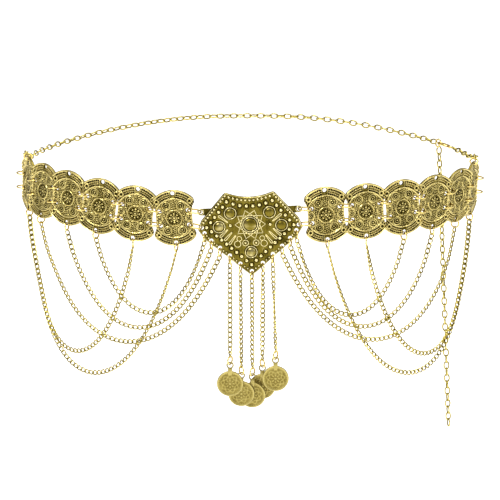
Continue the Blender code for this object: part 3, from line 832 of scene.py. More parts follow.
@dataclass
class CastPlates(Casting):
    """Twelve castings from one mould: two lobes with pitted bands, six bosses and a rosette.

    The face is a grid over a square, bent to a disc and stretched to the plate's outline. Its
    height is a sum of ridges, beads and pits in millimetres.
    """

    seats: dict[str, Triples] = field(
        # arc length from the middle of the front, height, and lean in degrees
        default_factory=lambda: {
            "l": (
                (0.0548, -0.0009, -4.0), (0.0843, 0.0003, 6.5), (0.1136, 0.0026, 9.0),
                (0.1425, 0.0046, 4.0), (0.1714, 0.0046, 7.0), (0.2004, 0.0032, 1.0),
            ),
            "r": (
                (0.0550, 0.0015, -3.9), (0.0852, 0.0019, -2.0), (0.1152, 0.0016, -4.4),
                (0.1447, 0.0011, 3.2), (0.1740, 0.0006, 6.0), (0.2035, -0.0010, 2.8),
            ),
        }
    )
    lap_deg: float = 6.0
    radius: float = 20.7
    thick: float = 1.4 * MM
    hole_radius: float = 1.5 * MM
    end_hole_z: float = 18.3 * MM
    side_hole: tuple[float, float] = (10.3 * MM, 5.35 * MM)
    widths: Pairs = (
        # height, half width
        (0.0, 13.2), (4.0, 13.2), (6.6, 13.45), (8.4, 13.8), (9.8, 14.6), (11.2, 15.25),
        (13.0, 15.2), (14.3, 14.75), (15.4, 13.8),
    )
    columns: int = 112
    rows: int = 154
    bosses: Triples = (
        # x, z, radius
        (5.35, 9.1, 3.2), (10.7, 0.0, 2.7),
    )
    band_radius: float = 14.5
    band_start: float = 2.3
    dot_spot: tuple[float, float] = (12.0, 12.35)
    rosette_radius: float = 5.9
    pit_pitch: float = 1.9
    pit_row_pitch: float = 1.65
    curl_pitch: float = 2.9

    def half_width(self, z: Array) -> Array:
        """Half width of the outline at a height: a table up the side, then the lobe's arc.

        Args:
            z: heights from the middle in millimetres.

        Returns:
            Half widths in millimetres.
        """
        heights, halves = np.array(self.widths).T
        arc = np.sqrt(np.clip(self.radius**2 - z**2, 0.0, None))
        return np.where(np.abs(z) < heights[-1], np.interp(np.abs(z), heights, halves), arc)

    def outline_radius(self, angle: Array) -> Array:
        """Distance from the middle to the outline in each direction, by interpolation.

        Args:
            angle: directions in radians from +X.

        Returns:
            Distances in millimetres.
        """
        z = self.radius * np.sin(np.linspace(0.0, math.pi / 2, 1200))
        half = self.half_width(z)
        folded = np.arctan2(np.abs(np.sin(angle)), np.abs(np.cos(angle)))
        return np.interp(folded, np.arctan2(z, half), np.hypot(z, half))

    def face_grid(self) -> tuple[Array, Array]:
        """x and z of the face's grid in millimetres.

        A square's point (a, b) goes to (a * root(1 - b^2 / 2), b * root(1 - a^2 / 2)) of the unit
        disc, and then out to the outline along its own direction.

        Returns:
            x and z, each (rows, columns).
        """
        a, b = np.meshgrid(np.linspace(-1, 1, self.columns), np.linspace(-1, 1, self.rows))
        x, z = a * np.sqrt(1 - b * b / 2), b * np.sqrt(1 - a * a / 2)
        reach = self.outline_radius(np.arctan2(z, x))
        return x * reach, z * reach

    def relief(self, x: Array, z: Array) -> Array:
        """Height of the face above its ground, in millimetres.

        Args:
            x: places across the plate in millimetres.
            z: places up the plate in millimetres.

        Returns:
            The sum of the rim, the pitted bands, the bosses, the rosette and the collars.
        """
        side, rise = np.abs(x), np.abs(z)
        edge = np.minimum(self.radius - np.hypot(x, z), self.half_width(z) - side)
        height = 0.66 * ridge(edge - 0.52, 0.50) - 0.15 * ease((0.20 - edge) / 0.20)
        taken = np.hypot(x, z) - self.rosette_radius
        for place_x, place_z, radius in self.bosses:
            taken = np.minimum(taken, np.hypot(side - place_x, rise - place_z) - radius)
            height += self.boss_relief(side - place_x, rise - place_z, radius)
        free = ease((np.minimum(taken, self.band_radius - np.hypot(x, z)) - 0.2) / 0.4)
        height += free * self.filigree(x, z)
        height += self.band_relief(side, rise)
        height += self.rosette_relief(x, z)
        for place_x, place_z in self.holes():
            away = np.hypot(side - abs(place_x) / MM, rise - abs(place_z) / MM)
            height = np.where(away < 2.5, height * ease((away - 1.6) / 0.9), height)
            height += 0.10 * ridge(away - 2.1, 0.35)
        return height

    def filigree(self, x: Array, z: Array) -> Array:
        """Small curls all over the ground: ringed beads on a wavy lattice of equal triangles.

        Args:
            x: places across in millimetres.
            z: places upwards in millimetres.

        Returns:
            Heights in millimetres.
        """
        a, rise = self.curl_pitch, self.curl_pitch * math.sqrt(3.0)
        x, z = x + 0.35 * np.sin(0.9 * z), z + 0.35 * np.sin(0.8 * x)
        away = np.inf
        for u, v in ((x, z), (x - a / 2, z - rise / 2)):
            nearest = np.hypot(u - a * np.round(u / a), v - rise * np.round(v / rise))
            away = np.minimum(away, nearest)
        return 0.58 * ridge(away - 0.98, 0.32) + 0.50 * ridge(away, 0.34) - 0.22

    def band_relief(self, side: Array, rise: Array) -> Array:
        """The bands of the lobes: three rows of square pits that end in a ringed dot.

        Args:
            side: distances from the middle line in millimetres.
            rise: distances from the level middle in millimetres.

        Returns:
            Heights in millimetres.
        """
        away = np.hypot(side, rise)
        over, depth = away - self.band_radius, self.radius - away
        arc = self.radius * np.arctan2(side, rise)
        inside = ease(over / 0.5) * ease((depth - 0.9) / 0.4)
        cells = wave(2 * math.pi * (arc - 3.7) / self.pit_pitch)
        rows = wave(2 * math.pi * (depth - 1.9) / self.pit_row_pitch)
        dot = np.hypot(side - self.dot_spot[0], rise - self.dot_spot[1])
        window = ease((over - 0.4) / 0.3) * ease((depth - 1.0) / 0.3)
        window = window * ease((arc - self.band_start) / 0.4) * ease((dot - 1.9) / 0.3)
        pits = ease((cells - 0.09) / 0.22) * ease((rows - 0.17) / 0.22) * window
        height = 0.30 * inside * ease((arc - self.band_start) / 0.5) - 0.90 * pits
        height += 0.60 * ridge(over, 0.42)
        near = dot < 2.1
        knob = 0.34 * ridge(dot - 1.5, 0.32) - 0.60 * ease((0.95 - dot) / 0.5)
        return np.where(near, knob + 0.1, height)

    def boss_relief(self, x: Array, z: Array, radius: float) -> Array:
        """A round boss: two ridges that wander like a spiral round a bead.

        Args:
            x: places across from its middle in millimetres.
            z: places upwards from its middle in millimetres.
            radius: its radius in millimetres.

        Returns:
            Heights in millimetres.
        """
        away = np.hypot(x, z)
        swirl = away + 0.28 * np.cos(np.arctan2(z, x) - 0.9)
        height = 0.62 * ridge(away - radius + 0.30, 0.36)
        height += 0.56 * ridge(swirl - radius * 0.54, 0.36) + 0.56 * dome(swirl, 0.70)
        height -= 0.24 * ease((radius + 0.2 - away) / 0.4)
        return height * ease((radius + 0.5 - away) / 0.4)

    def rosette_relief(self, x: Array, z: Array) -> Array:
        """The middle rosette: a bead in a ring of eight pits between two ridges.

        Args:
            x: places across in millimetres.
            z: places upwards in millimetres.

        Returns:
            Heights in millimetres.
        """
        away, turn = np.hypot(x, z), np.arctan2(z, x)
        height = 0.60 * ridge(away - 5.7, 0.36) + 0.46 * ridge(away - 4.6, 0.46) * wave(22 * turn)
        height += 0.50 * ridge(away - 3.1, 0.66) * ease((wave(8 * turn) - 0.20) / 0.4)
        height += 0.46 * ridge(away - 1.7, 0.30) - 0.17 * ease((5.5 - away) / 0.4)
        return height + 0.62 * dome(away, 0.95)

    def holes(self) -> list[tuple[float, float]]:
        """x and z of the six holes."""
        x, z = self.side_hole
        ends = [(0.0, self.end_hole_z), (0.0, -self.end_hole_z)]
        return ends + [(i * x, k * z) for i in (-1, 1) for k in (-1, 1)]

    def wear(self, x: Array, z: Array) -> Array:
        """Wear of the face: its height run through a smooth step."""
        return 0.97 * ease((self.relief(x, z) + 0.22) / 0.60)

    def places(self) -> dict[str, Array]:
        """Matrix of each plate by its letter and number.

        Returns:
            Matrices whose x runs along the belt, y inwards and z up the plate.
        """
        made = {}
        for side, letter in SIDES:
            lap = np.array(Matrix.Rotation(-side * math.radians(self.lap_deg), 3, "Z"))
            for number, (s, z, lean) in enumerate(self.seats[letter], 1):
                point, along, outward = HIP.at(side * s, z, 0.0)
                upright = np.stack([along[0], -outward[0], UP], axis=-1)
                place = about_y(lean)
                place[:3, :3] = place[:3, :3] @ lap @ upright
                place[:3, 3] = point[0]
                made[f"{letter}{number}"] = place
        return made

    def build(self) -> None:
        """Casts every plate from the one mould."""
        mould = self.cast(*self.face_grid())
        for code, place in self.places().items():
            mesh = mould.copy()
            mesh.name = f"cast_plate_{code}"
            mesh.transform(Matrix(place.tolist()))
            add_piece(mesh.name, mesh, Finish.PLATE, f"plate_{code}")


PLATES = CastPlates()


# Centre plaque


@dataclass
class CentrePlaque(Casting):
    """The pentagonal plaque: a rimmed casting with domes, granules, an interlaced star and bars.

    Sizes of the ornament are in millimetres in the plaque's own frame, x across and z up.
    """

    y: float = -107.2 * MM
    roll_deg: float = -2.0
    thick: float = 1.5 * MM
    hole_radius: float = 1.45 * MM
    top: Pairs = (
        # x, z of the upper outline
        (0.0, 15.6), (4.0, 15.8), (8.0, 16.4), (12.0, 17.4), (15.4, 18.6), (16.8, 19.0),
        (17.9, 18.8), (18.9, 17.9), (34.8, -0.5), (35.6, -2.1), (37.4, -6.8), (37.6, -7.4),
    )
    bottom: Pairs = (
        # x, z of the lower outline
        (0.0, -43.0), (0.7, -42.6), (32.9, -15.0), (33.8, -14.0), (37.3, -8.3), (37.6, -7.7),
    )
    lug_hole: tuple[float, float] = (35.2, 5.2)
    lug_half: float = 2.5
    lug_root: float = 27.0
    # one low value over the whole of each lug: painted shade for the lugs that sit behind the
    # plate
    lug_painted_shade: float = 0.26
    dome_wear: float = 0.53
    lug_y: float = 0.75
    lug_eye_radius: float = 2.0
    lug_eye_depth: float = 0.55
    lug_eye_halves: tuple[float, float] = (0.48, 0.30)
    corner_hole: tuple[float, float] = (34.8, -6.2)
    edge_holes: Pairs = (
        (33.0, -10.2), (28.4, -15.8), (22.4, -21.4), (15.5, -27.4), (8.1, -33.7), (0.0, -39.6),
    )
    domes: Triples = (
        # x, z, bezel radius
        (0.0, -4.7, 5.6), (14.1, 4.0, 4.5), (22.4, -5.8, 4.5), (0.0, -25.2, 4.5),
    )
    granule_line: Pairs = ((16.4, 12.6), (31.3, -5.9), (0.0, -34.6))
    granule_steps: tuple[int, ...] = (5, 9)
    dot_line: Pairs = ((17.6, 16.9), (33.5, -2.5))
    dot_steps: int = 10
    arc_depth: float = 3.6
    star_radius: float = 11.0
    line_half: float = 0.37
    line_lift: float = 0.10 * MM
    bars: tuple[tuple[float, float, float, float], ...] = (
        # x, z of the narrow end and of the round end
        (16.4, -2.4, 21.8, 2.0), (16.6, -8.3, 21.3, -12.8), (13.6, -10.4, 18.2, -15.3),
        (11.0, -12.9, 15.0, -18.3),
    )
    circlets: Triples = (
        # x, z, radius
        (8.2, -15.0, 1.7), (9.5, -18.9, 2.3), (3.8, -18.3, 2.1),
    )
    studs: Triples = ((14.3, -5.0, 1.5), (3.8, -18.3, 0.9))
    columns: int = 210
    rows: int = 140

    def place(self) -> Array:
        """Matrix of the plaque, which hangs a little askew."""
        made = about_y(self.roll_deg)
        made[1, 3] = self.y
        return made

    def holes(self) -> list[tuple[float, float]]:
        """x and z of the holes through the plate itself, in metres."""
        pairs = [self.corner_hole, *self.edge_holes[:-1]]
        both = [(side * x * MM, z * MM) for x, z in pairs for side in (-1, 1)]
        return both + [(0.0, self.edge_holes[-1][1] * MM)]

    def face_grid(self) -> tuple[Array, Array]:
        """x and z of the face's grid: columns that run from the lower outline to the upper.

        Returns:
            x and z in millimetres, each (rows, columns).
        """
        share = np.linspace(0.0, 1.0, self.rows)[:, None]
        x = np.linspace(-1.0, 1.0, self.columns)[None, :] * self.top[-1][0]
        upper = np.interp(np.abs(x), *np.array(self.top).T)
        lower = np.interp(np.abs(x), *np.array(self.bottom).T)
        z = lower + share * (upper - lower)
        return np.broadcast_to(x, z.shape), z

    def edge_distance(self, x: Array, z: Array) -> Array:
        """Distance to the outline: the least distance to any of its straight stretches.

        Args:
            x: places across in millimetres.
            z: places upwards in millimetres.

        Returns:
            Distances in millimetres.
        """
        chain = np.array([*self.top, *self.bottom[::-1]])
        start, end = chain[:-1], chain[1:]
        span = end - start
        spot = np.stack([np.abs(x), z], axis=-1)[..., None, :]
        share = np.sum((spot - start) * span, axis=-1) / np.sum(span * span, axis=-1)
        nearest = start + np.clip(share, 0.0, 1.0)[..., None] * span
        return np.linalg.norm(spot - nearest, axis=-1).min(axis=-1)

    def relief(self, x: Array, z: Array) -> Array:
        """Height of the face above its ground: the rim, a low step and collars at the holes.

        Args:
            x: places across in millimetres.
            z: places upwards in millimetres.

        Returns:
            Heights in millimetres.
        """
        edge = self.edge_distance(x, z)
        height = 0.34 * ridge(edge - 0.50, 0.34) - 0.30 * ease((0.30 - edge) / 0.30)
        height += 0.04 * np.sin(3.1 * x + 1.3 * np.sin(2.3 * z)) - 0.05
        for place_x, place_z in self.holes():
            away = np.hypot(x - place_x / MM, z - place_z / MM)
            height += 0.16 * ridge(away - 1.95, 0.32)
        return height

    def wear(self, x: Array, z: Array) -> Array:
        """Wear of the face from its relief, made darker close to the granules, domes and dots with
        painted shade.

        Args:
            x: places across in millimetres.
            z: places upwards in millimetres.

        Returns:
            Wear from 0 to 1.
        """
        # painted shade at the feet of the domes, granules and dots, taken off the wear from the
        # relief
        shade = np.zeros_like(x)
        raised = (([*self.domes, *self.granules()], 0.8, 1.0), (self.dots(), 0.5, 0.8))
        for spots, reach, depth in raised:
            for centre_x, centre_z, radius in spots:
                away = np.hypot(np.abs(x) - centre_x, z - centre_z) - radius
                shade = np.maximum(shade, depth * ease((reach - away) / reach))
        return np.clip(0.46 + 1.0 * self.relief(x, z) - 0.42 * shade, 0.03, 1.0)

    def sagging(self, x: Array, half: float, z: float) -> Array:
        """A row of points under the top: a parabola through (half, z), lowest in the middle."""
        return np.stack([x, z - self.arc_depth * (1 - (x / half) ** 2)], axis=-1)

    def granules(self) -> list[tuple[float, float, float]]:
        """x, z and radius of the ringed granules on the right half and the middle line.

        Returns:
            Those of the right half, in millimetres.
        """
        (top_x, top_z), corner, tip = (np.array(p) for p in self.granule_line)
        x = np.linspace(top_x, -top_x, 8)[:4]
        arc = self.sagging(x, top_x, top_z)
        first = np.linspace((top_x, top_z), corner, self.granule_steps[0] + 1)[1:]
        second = np.linspace(corner, tip, self.granule_steps[1] + 1)[1:]
        return [(px, pz, 1.60) for px, pz in np.concatenate([arc, first, second])]

    def dots(self) -> list[tuple[float, float, float]]:
        """x, z and radius of the small dots along the top, the sides and the lower edge.

        Returns:
            Those of the right half, in millimetres.
        """
        (top_x, top_z), end = (np.array(p) for p in self.dot_line)
        x = np.linspace(top_x, 0.0, 7)[1:]
        arc = self.sagging(x, top_x, top_z)
        side = np.linspace((top_x, top_z), end, self.dot_steps + 1)
        made = [(px, pz, 0.92) for px, pz in np.concatenate([arc, side])]
        for start, stop in zip(self.edge_holes, self.edge_holes[1:]):
            start, stop = np.array(start), np.array(stop)
            for share in (0.36, 0.64):
                made.append((*(start + (stop - start) * share), 0.65))
        return made

    def bead_field(self, spots: list[tuple[float, float, float]], ringed: bool) -> Shell:
        """Beads on the face at each spot and at its mirror place.

        Args:
            spots: x, z and radius of the right half's beads.
            ringed: whether a thin collar stands round each bead.

        Returns:
            One shell in the plaque's own frame, in metres.
        """
        profile = [(0.0, -0.3), (1.0, -0.3), (0.97, 0.30), (0.80, 0.55), (0.45, 0.74), (0.0, 0.80)]
        wear = [0.1, 0.15, 0.55, 0.85, 1.0, 1.0]
        if ringed:
            profile = [(0.0, -0.3), (1.05, -0.3), (1.05, 0.08), (0.98, 0.13), (0.88, 0.06)]
            profile += [(0.80, 0.08), (0.77, 0.40), (0.52, 0.70), (0.0, 0.80)]
            wear = [0.1, 0.1, 0.30, 0.42, 0.0, 0.10, 0.9, 1.0, 1.0]
        master = turned(np.array(profile), np.array(wear), 12 if ringed else 8)
        both = [(s * x, z, r) for x, z, r in spots for s in ((-1, 1) if x > 0.01 else (1,))]
        x, z, radius = np.array(both).T * MM
        origins = as_points(x, -self.thick / 2, z)
        return master.repeated(origins, np.eye(3)[None] * radius[:, None, None])

    def dome_shell(self) -> Shell:
        """Cabochons in bezels: a rounded rim, a groove and an elliptical dome, turned.

        Returns:
            One shell in the plaque's own frame, in metres.
        """
        made = []
        climb = np.linspace(0.0, math.pi / 2, 9)
        for x, z, radius in self.domes:
            inner = radius - 1.05
            cap = np.stack([inner * np.cos(climb), 0.45 + 1.45 * np.sin(climb)], axis=-1)
            rim = [(0.0, -0.4), (radius, -0.4), (radius, 0.55), (radius - 0.18, 0.74)]
            rim += [(radius - 0.42, 0.76), (radius - 0.62, 0.60), (radius - 0.80, 0.18)]
            profile = np.concatenate([rim, cap]) * MM
            rim_wear = [0.3, 0.2, 0.6, 0.9, 0.9, 0.5, 0.0, 0.2]
            wear = np.array(rim_wear + [self.dome_wear] * (len(cap) - 1))
            master = turned(profile, wear, 40)
            for side in (-1, 1) if x else (1,):
                spot = np.array([[side * x * MM, -self.thick / 2, z * MM]])
                made.append(master.repeated(spot, np.eye(3)[None]))
        return merged(made)

    def raised_line(self, line: Array) -> Shell:
        """A closed round-topped ridge along (n, 2) points, half sunk in the face.

        Args:
            line: (n, 2) x and z of a closed line in millimetres.

        Returns:
            A shell whose wear grows with its height.
        """
        x, z = line.T * MM
        path = as_points(x, -self.thick / 2 - self.line_lift, z)
        shell = sweep(path, np.full((len(path), 2), self.line_half * MM), -BACKWARDS, 6, True)
        height = -(shell.points[:, 1] + self.thick / 2) / MM
        shell.wear = 0.30 + 0.70 * ease(height / (self.line_half * 0.8))
        return shell

    def star_line(self) -> Array:
        """A ten-pointed star drawn in one stroke: each straight run goes three points on.

        Returns:
            (80, 2) points in millimetres.
        """
        tips = np.arange(11) * 3 * 2 * math.pi / 10
        centre = np.array(self.domes[0][:2])
        corners = centre + self.star_radius * np.stack([np.cos(tips), np.sin(tips)], axis=-1)
        share = np.linspace(0.0, 1.0, 8, endpoint=False)[None, :, None]
        runs = corners[:-1, None, :] + (corners[1:, None, :] - corners[:-1, None, :]) * share
        return runs.reshape(-1, 2)

    def bar_line(self, x0: float, z0: float, x1: float, z1: float) -> Array:
        """A long loop: the offset curve of a line, narrow at its first end, round at its last.

        Args:
            x0: x of its narrow end.
            z0: z of its narrow end.
            x1: x of its round end.
            z1: z of its round end.

        Returns:
            (14, 2) points in millimetres.
        """
        start, end = np.array([x0, z0]), np.array([x1, z1])
        along = (end - start) / np.linalg.norm(end - start)
        square = np.array([-along[1], along[0]])
        turn = np.linspace(-math.pi / 2, math.pi / 2, 7)[:, None]
        head = end + 0.75 * (np.cos(turn) * along + np.sin(turn) * square)
        tail = start + 0.30 * (-np.cos(turn) * along - np.sin(turn) * square)
        return np.concatenate([head, tail])

    def lugs(self) -> bpy.types.Mesh:
        """The two lugs behind the plate: straps with a round, drilled end, made dark all over with
        painted shade.

        Returns:
            Their mesh in the row frame.
        """
        x, z = self.lug_hole
        turn = np.linspace(-math.pi / 2, math.pi / 2, 15)
        tip = np.stack([np.cos(turn), np.sin(turn)], axis=-1) * self.lug_half + (x, z)
        root = [(self.lug_root, z + self.lug_half), (self.lug_root, z - self.lug_half)]
        outline = np.concatenate([tip, root])
        levels = np.array([(0.95, -0.6), (1.0, -0.42), (1.0, 0.42), (0.95, 0.6)])
        strap = pillow(outline * MM, levels * [1.0, MM], np.full(4, self.lug_painted_shade))
        made = [strap.placed(np.diag([side, 1.0, 1.0, 1.0])).facing_out() for side in (-1, 1)]
        mesh = drilled(merged(made), [(i * x * MM, z * MM) for i in (-1, 1)], self.hole_radius)
        # painted shade: the same dark value on every vertex of the lugs
        set_wear(mesh, np.full(len(mesh.vertices), self.lug_painted_shade))
        mesh.transform(Matrix.Translation((0.0, self.lug_y * MM, 0.0)))
        mesh.transform(Matrix(self.place().tolist()))
        return mesh

    def lug_eyes(self) -> Shell:
        """The rubbed collars round the lugs' holes.

        Returns:
            One shell in the plaque's own frame, in metres.
        """
        turn = full_turn(28)
        x, z = self.lug_hole
        across, up = self.lug_eye_radius * np.cos(turn), self.lug_eye_radius * np.sin(turn)
        path = as_points(x + across, self.lug_y - self.lug_eye_depth, z + up)
        eye = sweep(path * MM, np.full((28, 2), self.lug_eye_halves) * MM, BACKWARDS, 8, True)
        return merged([eye, eye.placed(np.diag([-1.0, 1.0, 1.0, 1.0])).facing_out()])

    def build(self) -> None:
        """The drilled plate with its lugs, and the ornament that stands on it."""
        place = self.place()
        mesh = self.cast(*self.face_grid())
        mesh.transform(Matrix(place.tolist()))
        add_piece("plaque_casting", mesh, Finish.PLAQUE, "plaque")
        add_piece("plaque_lugs", self.lugs(), Finish.PLAQUE)
        ornament = {
            "plaque_domes": self.dome_shell(),
            "plaque_granules": self.bead_field([*self.granules(), self.studs[0]], True),
            "plaque_dots": self.bead_field([*self.dots(), self.studs[1]], False),
            "plaque_lug_eyes": self.lug_eyes(),
            "plaque_star": self.raised_line(self.star_line()),
            "plaque_bars": self.line_work(),
        }
        for name, part in ornament.items():
            add_piece(name, part.placed(place), Finish.PLAQUE)

    def line_work(self) -> Shell:
        """The bars and circlets on both halves as fine raised lines.

        Returns:
            One shell in the plaque's own frame, in metres.
        """
        turn = full_turn(24)
        circle = np.stack([np.cos(turn), np.sin(turn)], axis=-1)
        lines = [self.bar_line(*bar) for bar in self.bars]
        lines += [np.array([x, z]) + radius * circle for x, z, radius in self.circlets]
        both = [line * [side, 1.0] for line in lines for side in (-1, 1)]
        return merged([self.raised_line(line) for line in both])


PLAQUE = CentrePlaque()


@dataclass
class SideRings:
    """An upper and a lower jump ring in each gap of the belt, and the free ones at its ends."""

    free_drop: float = 0.4 * MM

    def build(self) -> None:
        """Makes each ring between its two facing holes."""
        places, plaque = PLATES.places(), PLAQUE.place()
        hole_x, hole_z = PLATES.side_hole
        free = []
        for side, letter in SIDES:
            for k, tier in ((-1, "lower"), (1, "upper")):
                held = PLAQUE.lug_hole if k > 0 else PLAQUE.corner_hole
                depth = PLAQUE.lug_y * MM if k > 0 else 0.0
                start = applied(plaque, side * held[0] * MM, depth, held[1] * MM)
                before = "plaque"
                for number in range(1, len(PLATES.seats[letter]) + 1):
                    place = places[f"{letter}{number}"]
                    end = applied(place, -side * hole_x, 0.0, k * hole_z)
                    spot = RINGS.between(start, end, place[:3, 1])
                    code = f"{before}_{letter}{number}_{tier}"
                    shell = RINGS.shell([spot], 20 + number + 7 * k)
                    add_piece(f"jump_ring_{code}", shell, Finish.RING, f"ring_{code}")
                    start = applied(place, side * hole_x, 0.0, k * hole_z)
                    before = f"{letter}{number}"
                along = side * place[:3, 0]
                centre = start + along * RINGS.side_radius - UP * self.free_drop
                free.append(RingSpot(centre, along, place[:3, 1], RINGS.side_radius))
        add_piece("free_end_rings", RINGS.shell(free, 3), Finish.RING)


# Chains

TURN_PLACES = (0.0, 0.12, 0.5, 0.88, 1.0)


@dataclass(frozen=True)
class LinkKind:
    """One kind of chain link: an oval of round wire, and how its neighbours are turned."""

    length: float
    width: float
    wire: float
    twist_deg: float
    alternate_deg: float
    stations: int
    section: int

    @property
    def pitch(self) -> float:
        """Distance from link to link when the chain is stretched."""
        return self.length - 2 * self.wire

    def master(self) -> Shell:
        """One link along X.

        Its centre line is (a cos t, b sin t), turned about X by the twist times cos t, which is
        how a curb link is twisted so that its neighbours lie flat.

        Returns:
            A closed shell round the origin.
        """
        turn = full_turn(self.stations)
        long, wide = (self.length - self.wire) / 2, (self.width - self.wire) / 2
        lean = math.radians(self.twist_deg) * np.cos(turn)
        y = wide * np.sin(turn)
        path = as_points(long * np.cos(turn), y * np.cos(lean), y * np.sin(lean))
        halves = np.full((self.stations, 2), self.wire / 2)
        return sweep(path, halves, UP, self.section, True)

    def strung(self, path: Array, facing: Array, drift: Array) -> Shell:
        """Links strung along a path.

        Args:
            path: (n, 3) line that the chain follows.
            facing: (n, 3) direction that its flat side faces.
            drift: turn in degrees about the path at each of TURN_PLACES.

        Returns:
            One shell. Links sit at even steps of arc length, as near the pitch as fits.
        """
        steps = np.linalg.norm(np.diff(path, axis=0), axis=1)
        reach = np.concatenate([[0.0], np.cumsum(steps)])
        count = max(2, round(reach[-1] / self.pitch))
        at = (np.arange(count) + 0.5) * reach[-1] / count
        along = np.gradient(path, axis=0)
        table = np.concatenate([path, along, facing], axis=1)
        spots = np.stack([np.interp(at, reach, column) for column in table.T], axis=-1)
        x_axis = unit(spots[:, 3:6])
        normal = squared(spots[:, 6:], x_axis)
        across = np.cross(normal, x_axis)
        turn = np.interp(at / reach[-1], TURN_PLACES, drift)
        turn = np.radians(turn + self.alternate_deg * (np.arange(count) % 2))[:, None]
        z_axis = normal * np.cos(turn) + across * np.sin(turn)
        axes = np.stack([x_axis, np.cross(z_axis, x_axis), z_axis], axis=1)
        return self.master().repeated(spots[:, :3], axes)


class Links(Enum):
    """The two kinds of chain."""

    CURB = LinkKind(5.6 * MM, 4.0 * MM, 0.96 * MM, 38.0, 0.0, 14, 6)
    CABLE = LinkKind(7.6 * MM, 5.0 * MM, 1.12 * MM, 0.0, 90.0, 18, 8)


@dataclass
class ChainRun:
    """One chain between two jump rings, or with a bare end, and the node that it stands for."""

    name: str
    node: str
    kind: Links
    path: Array
    facing: Array
    far_end: str = "object"
    drift: tuple[float, ...] = (0.0, 0.0, 0.0, 0.0, 0.0)

    def build(self) -> None:
        first, last = self.path[0] - self.path[1], self.path[-1] - self.path[-2]
        path = self.path.copy()
        path[0] += unit(first) * RINGS.wire
        if self.far_end == "object":
            path[-1] += unit(last) * RINGS.wire
        facing = np.broadcast_to(self.facing, path.shape)
        link = self.kind.value
        shell = link.strung(path, facing, np.array(self.drift))
        piece = add_piece(self.name, shell, Finish.CHAIN, self.node)


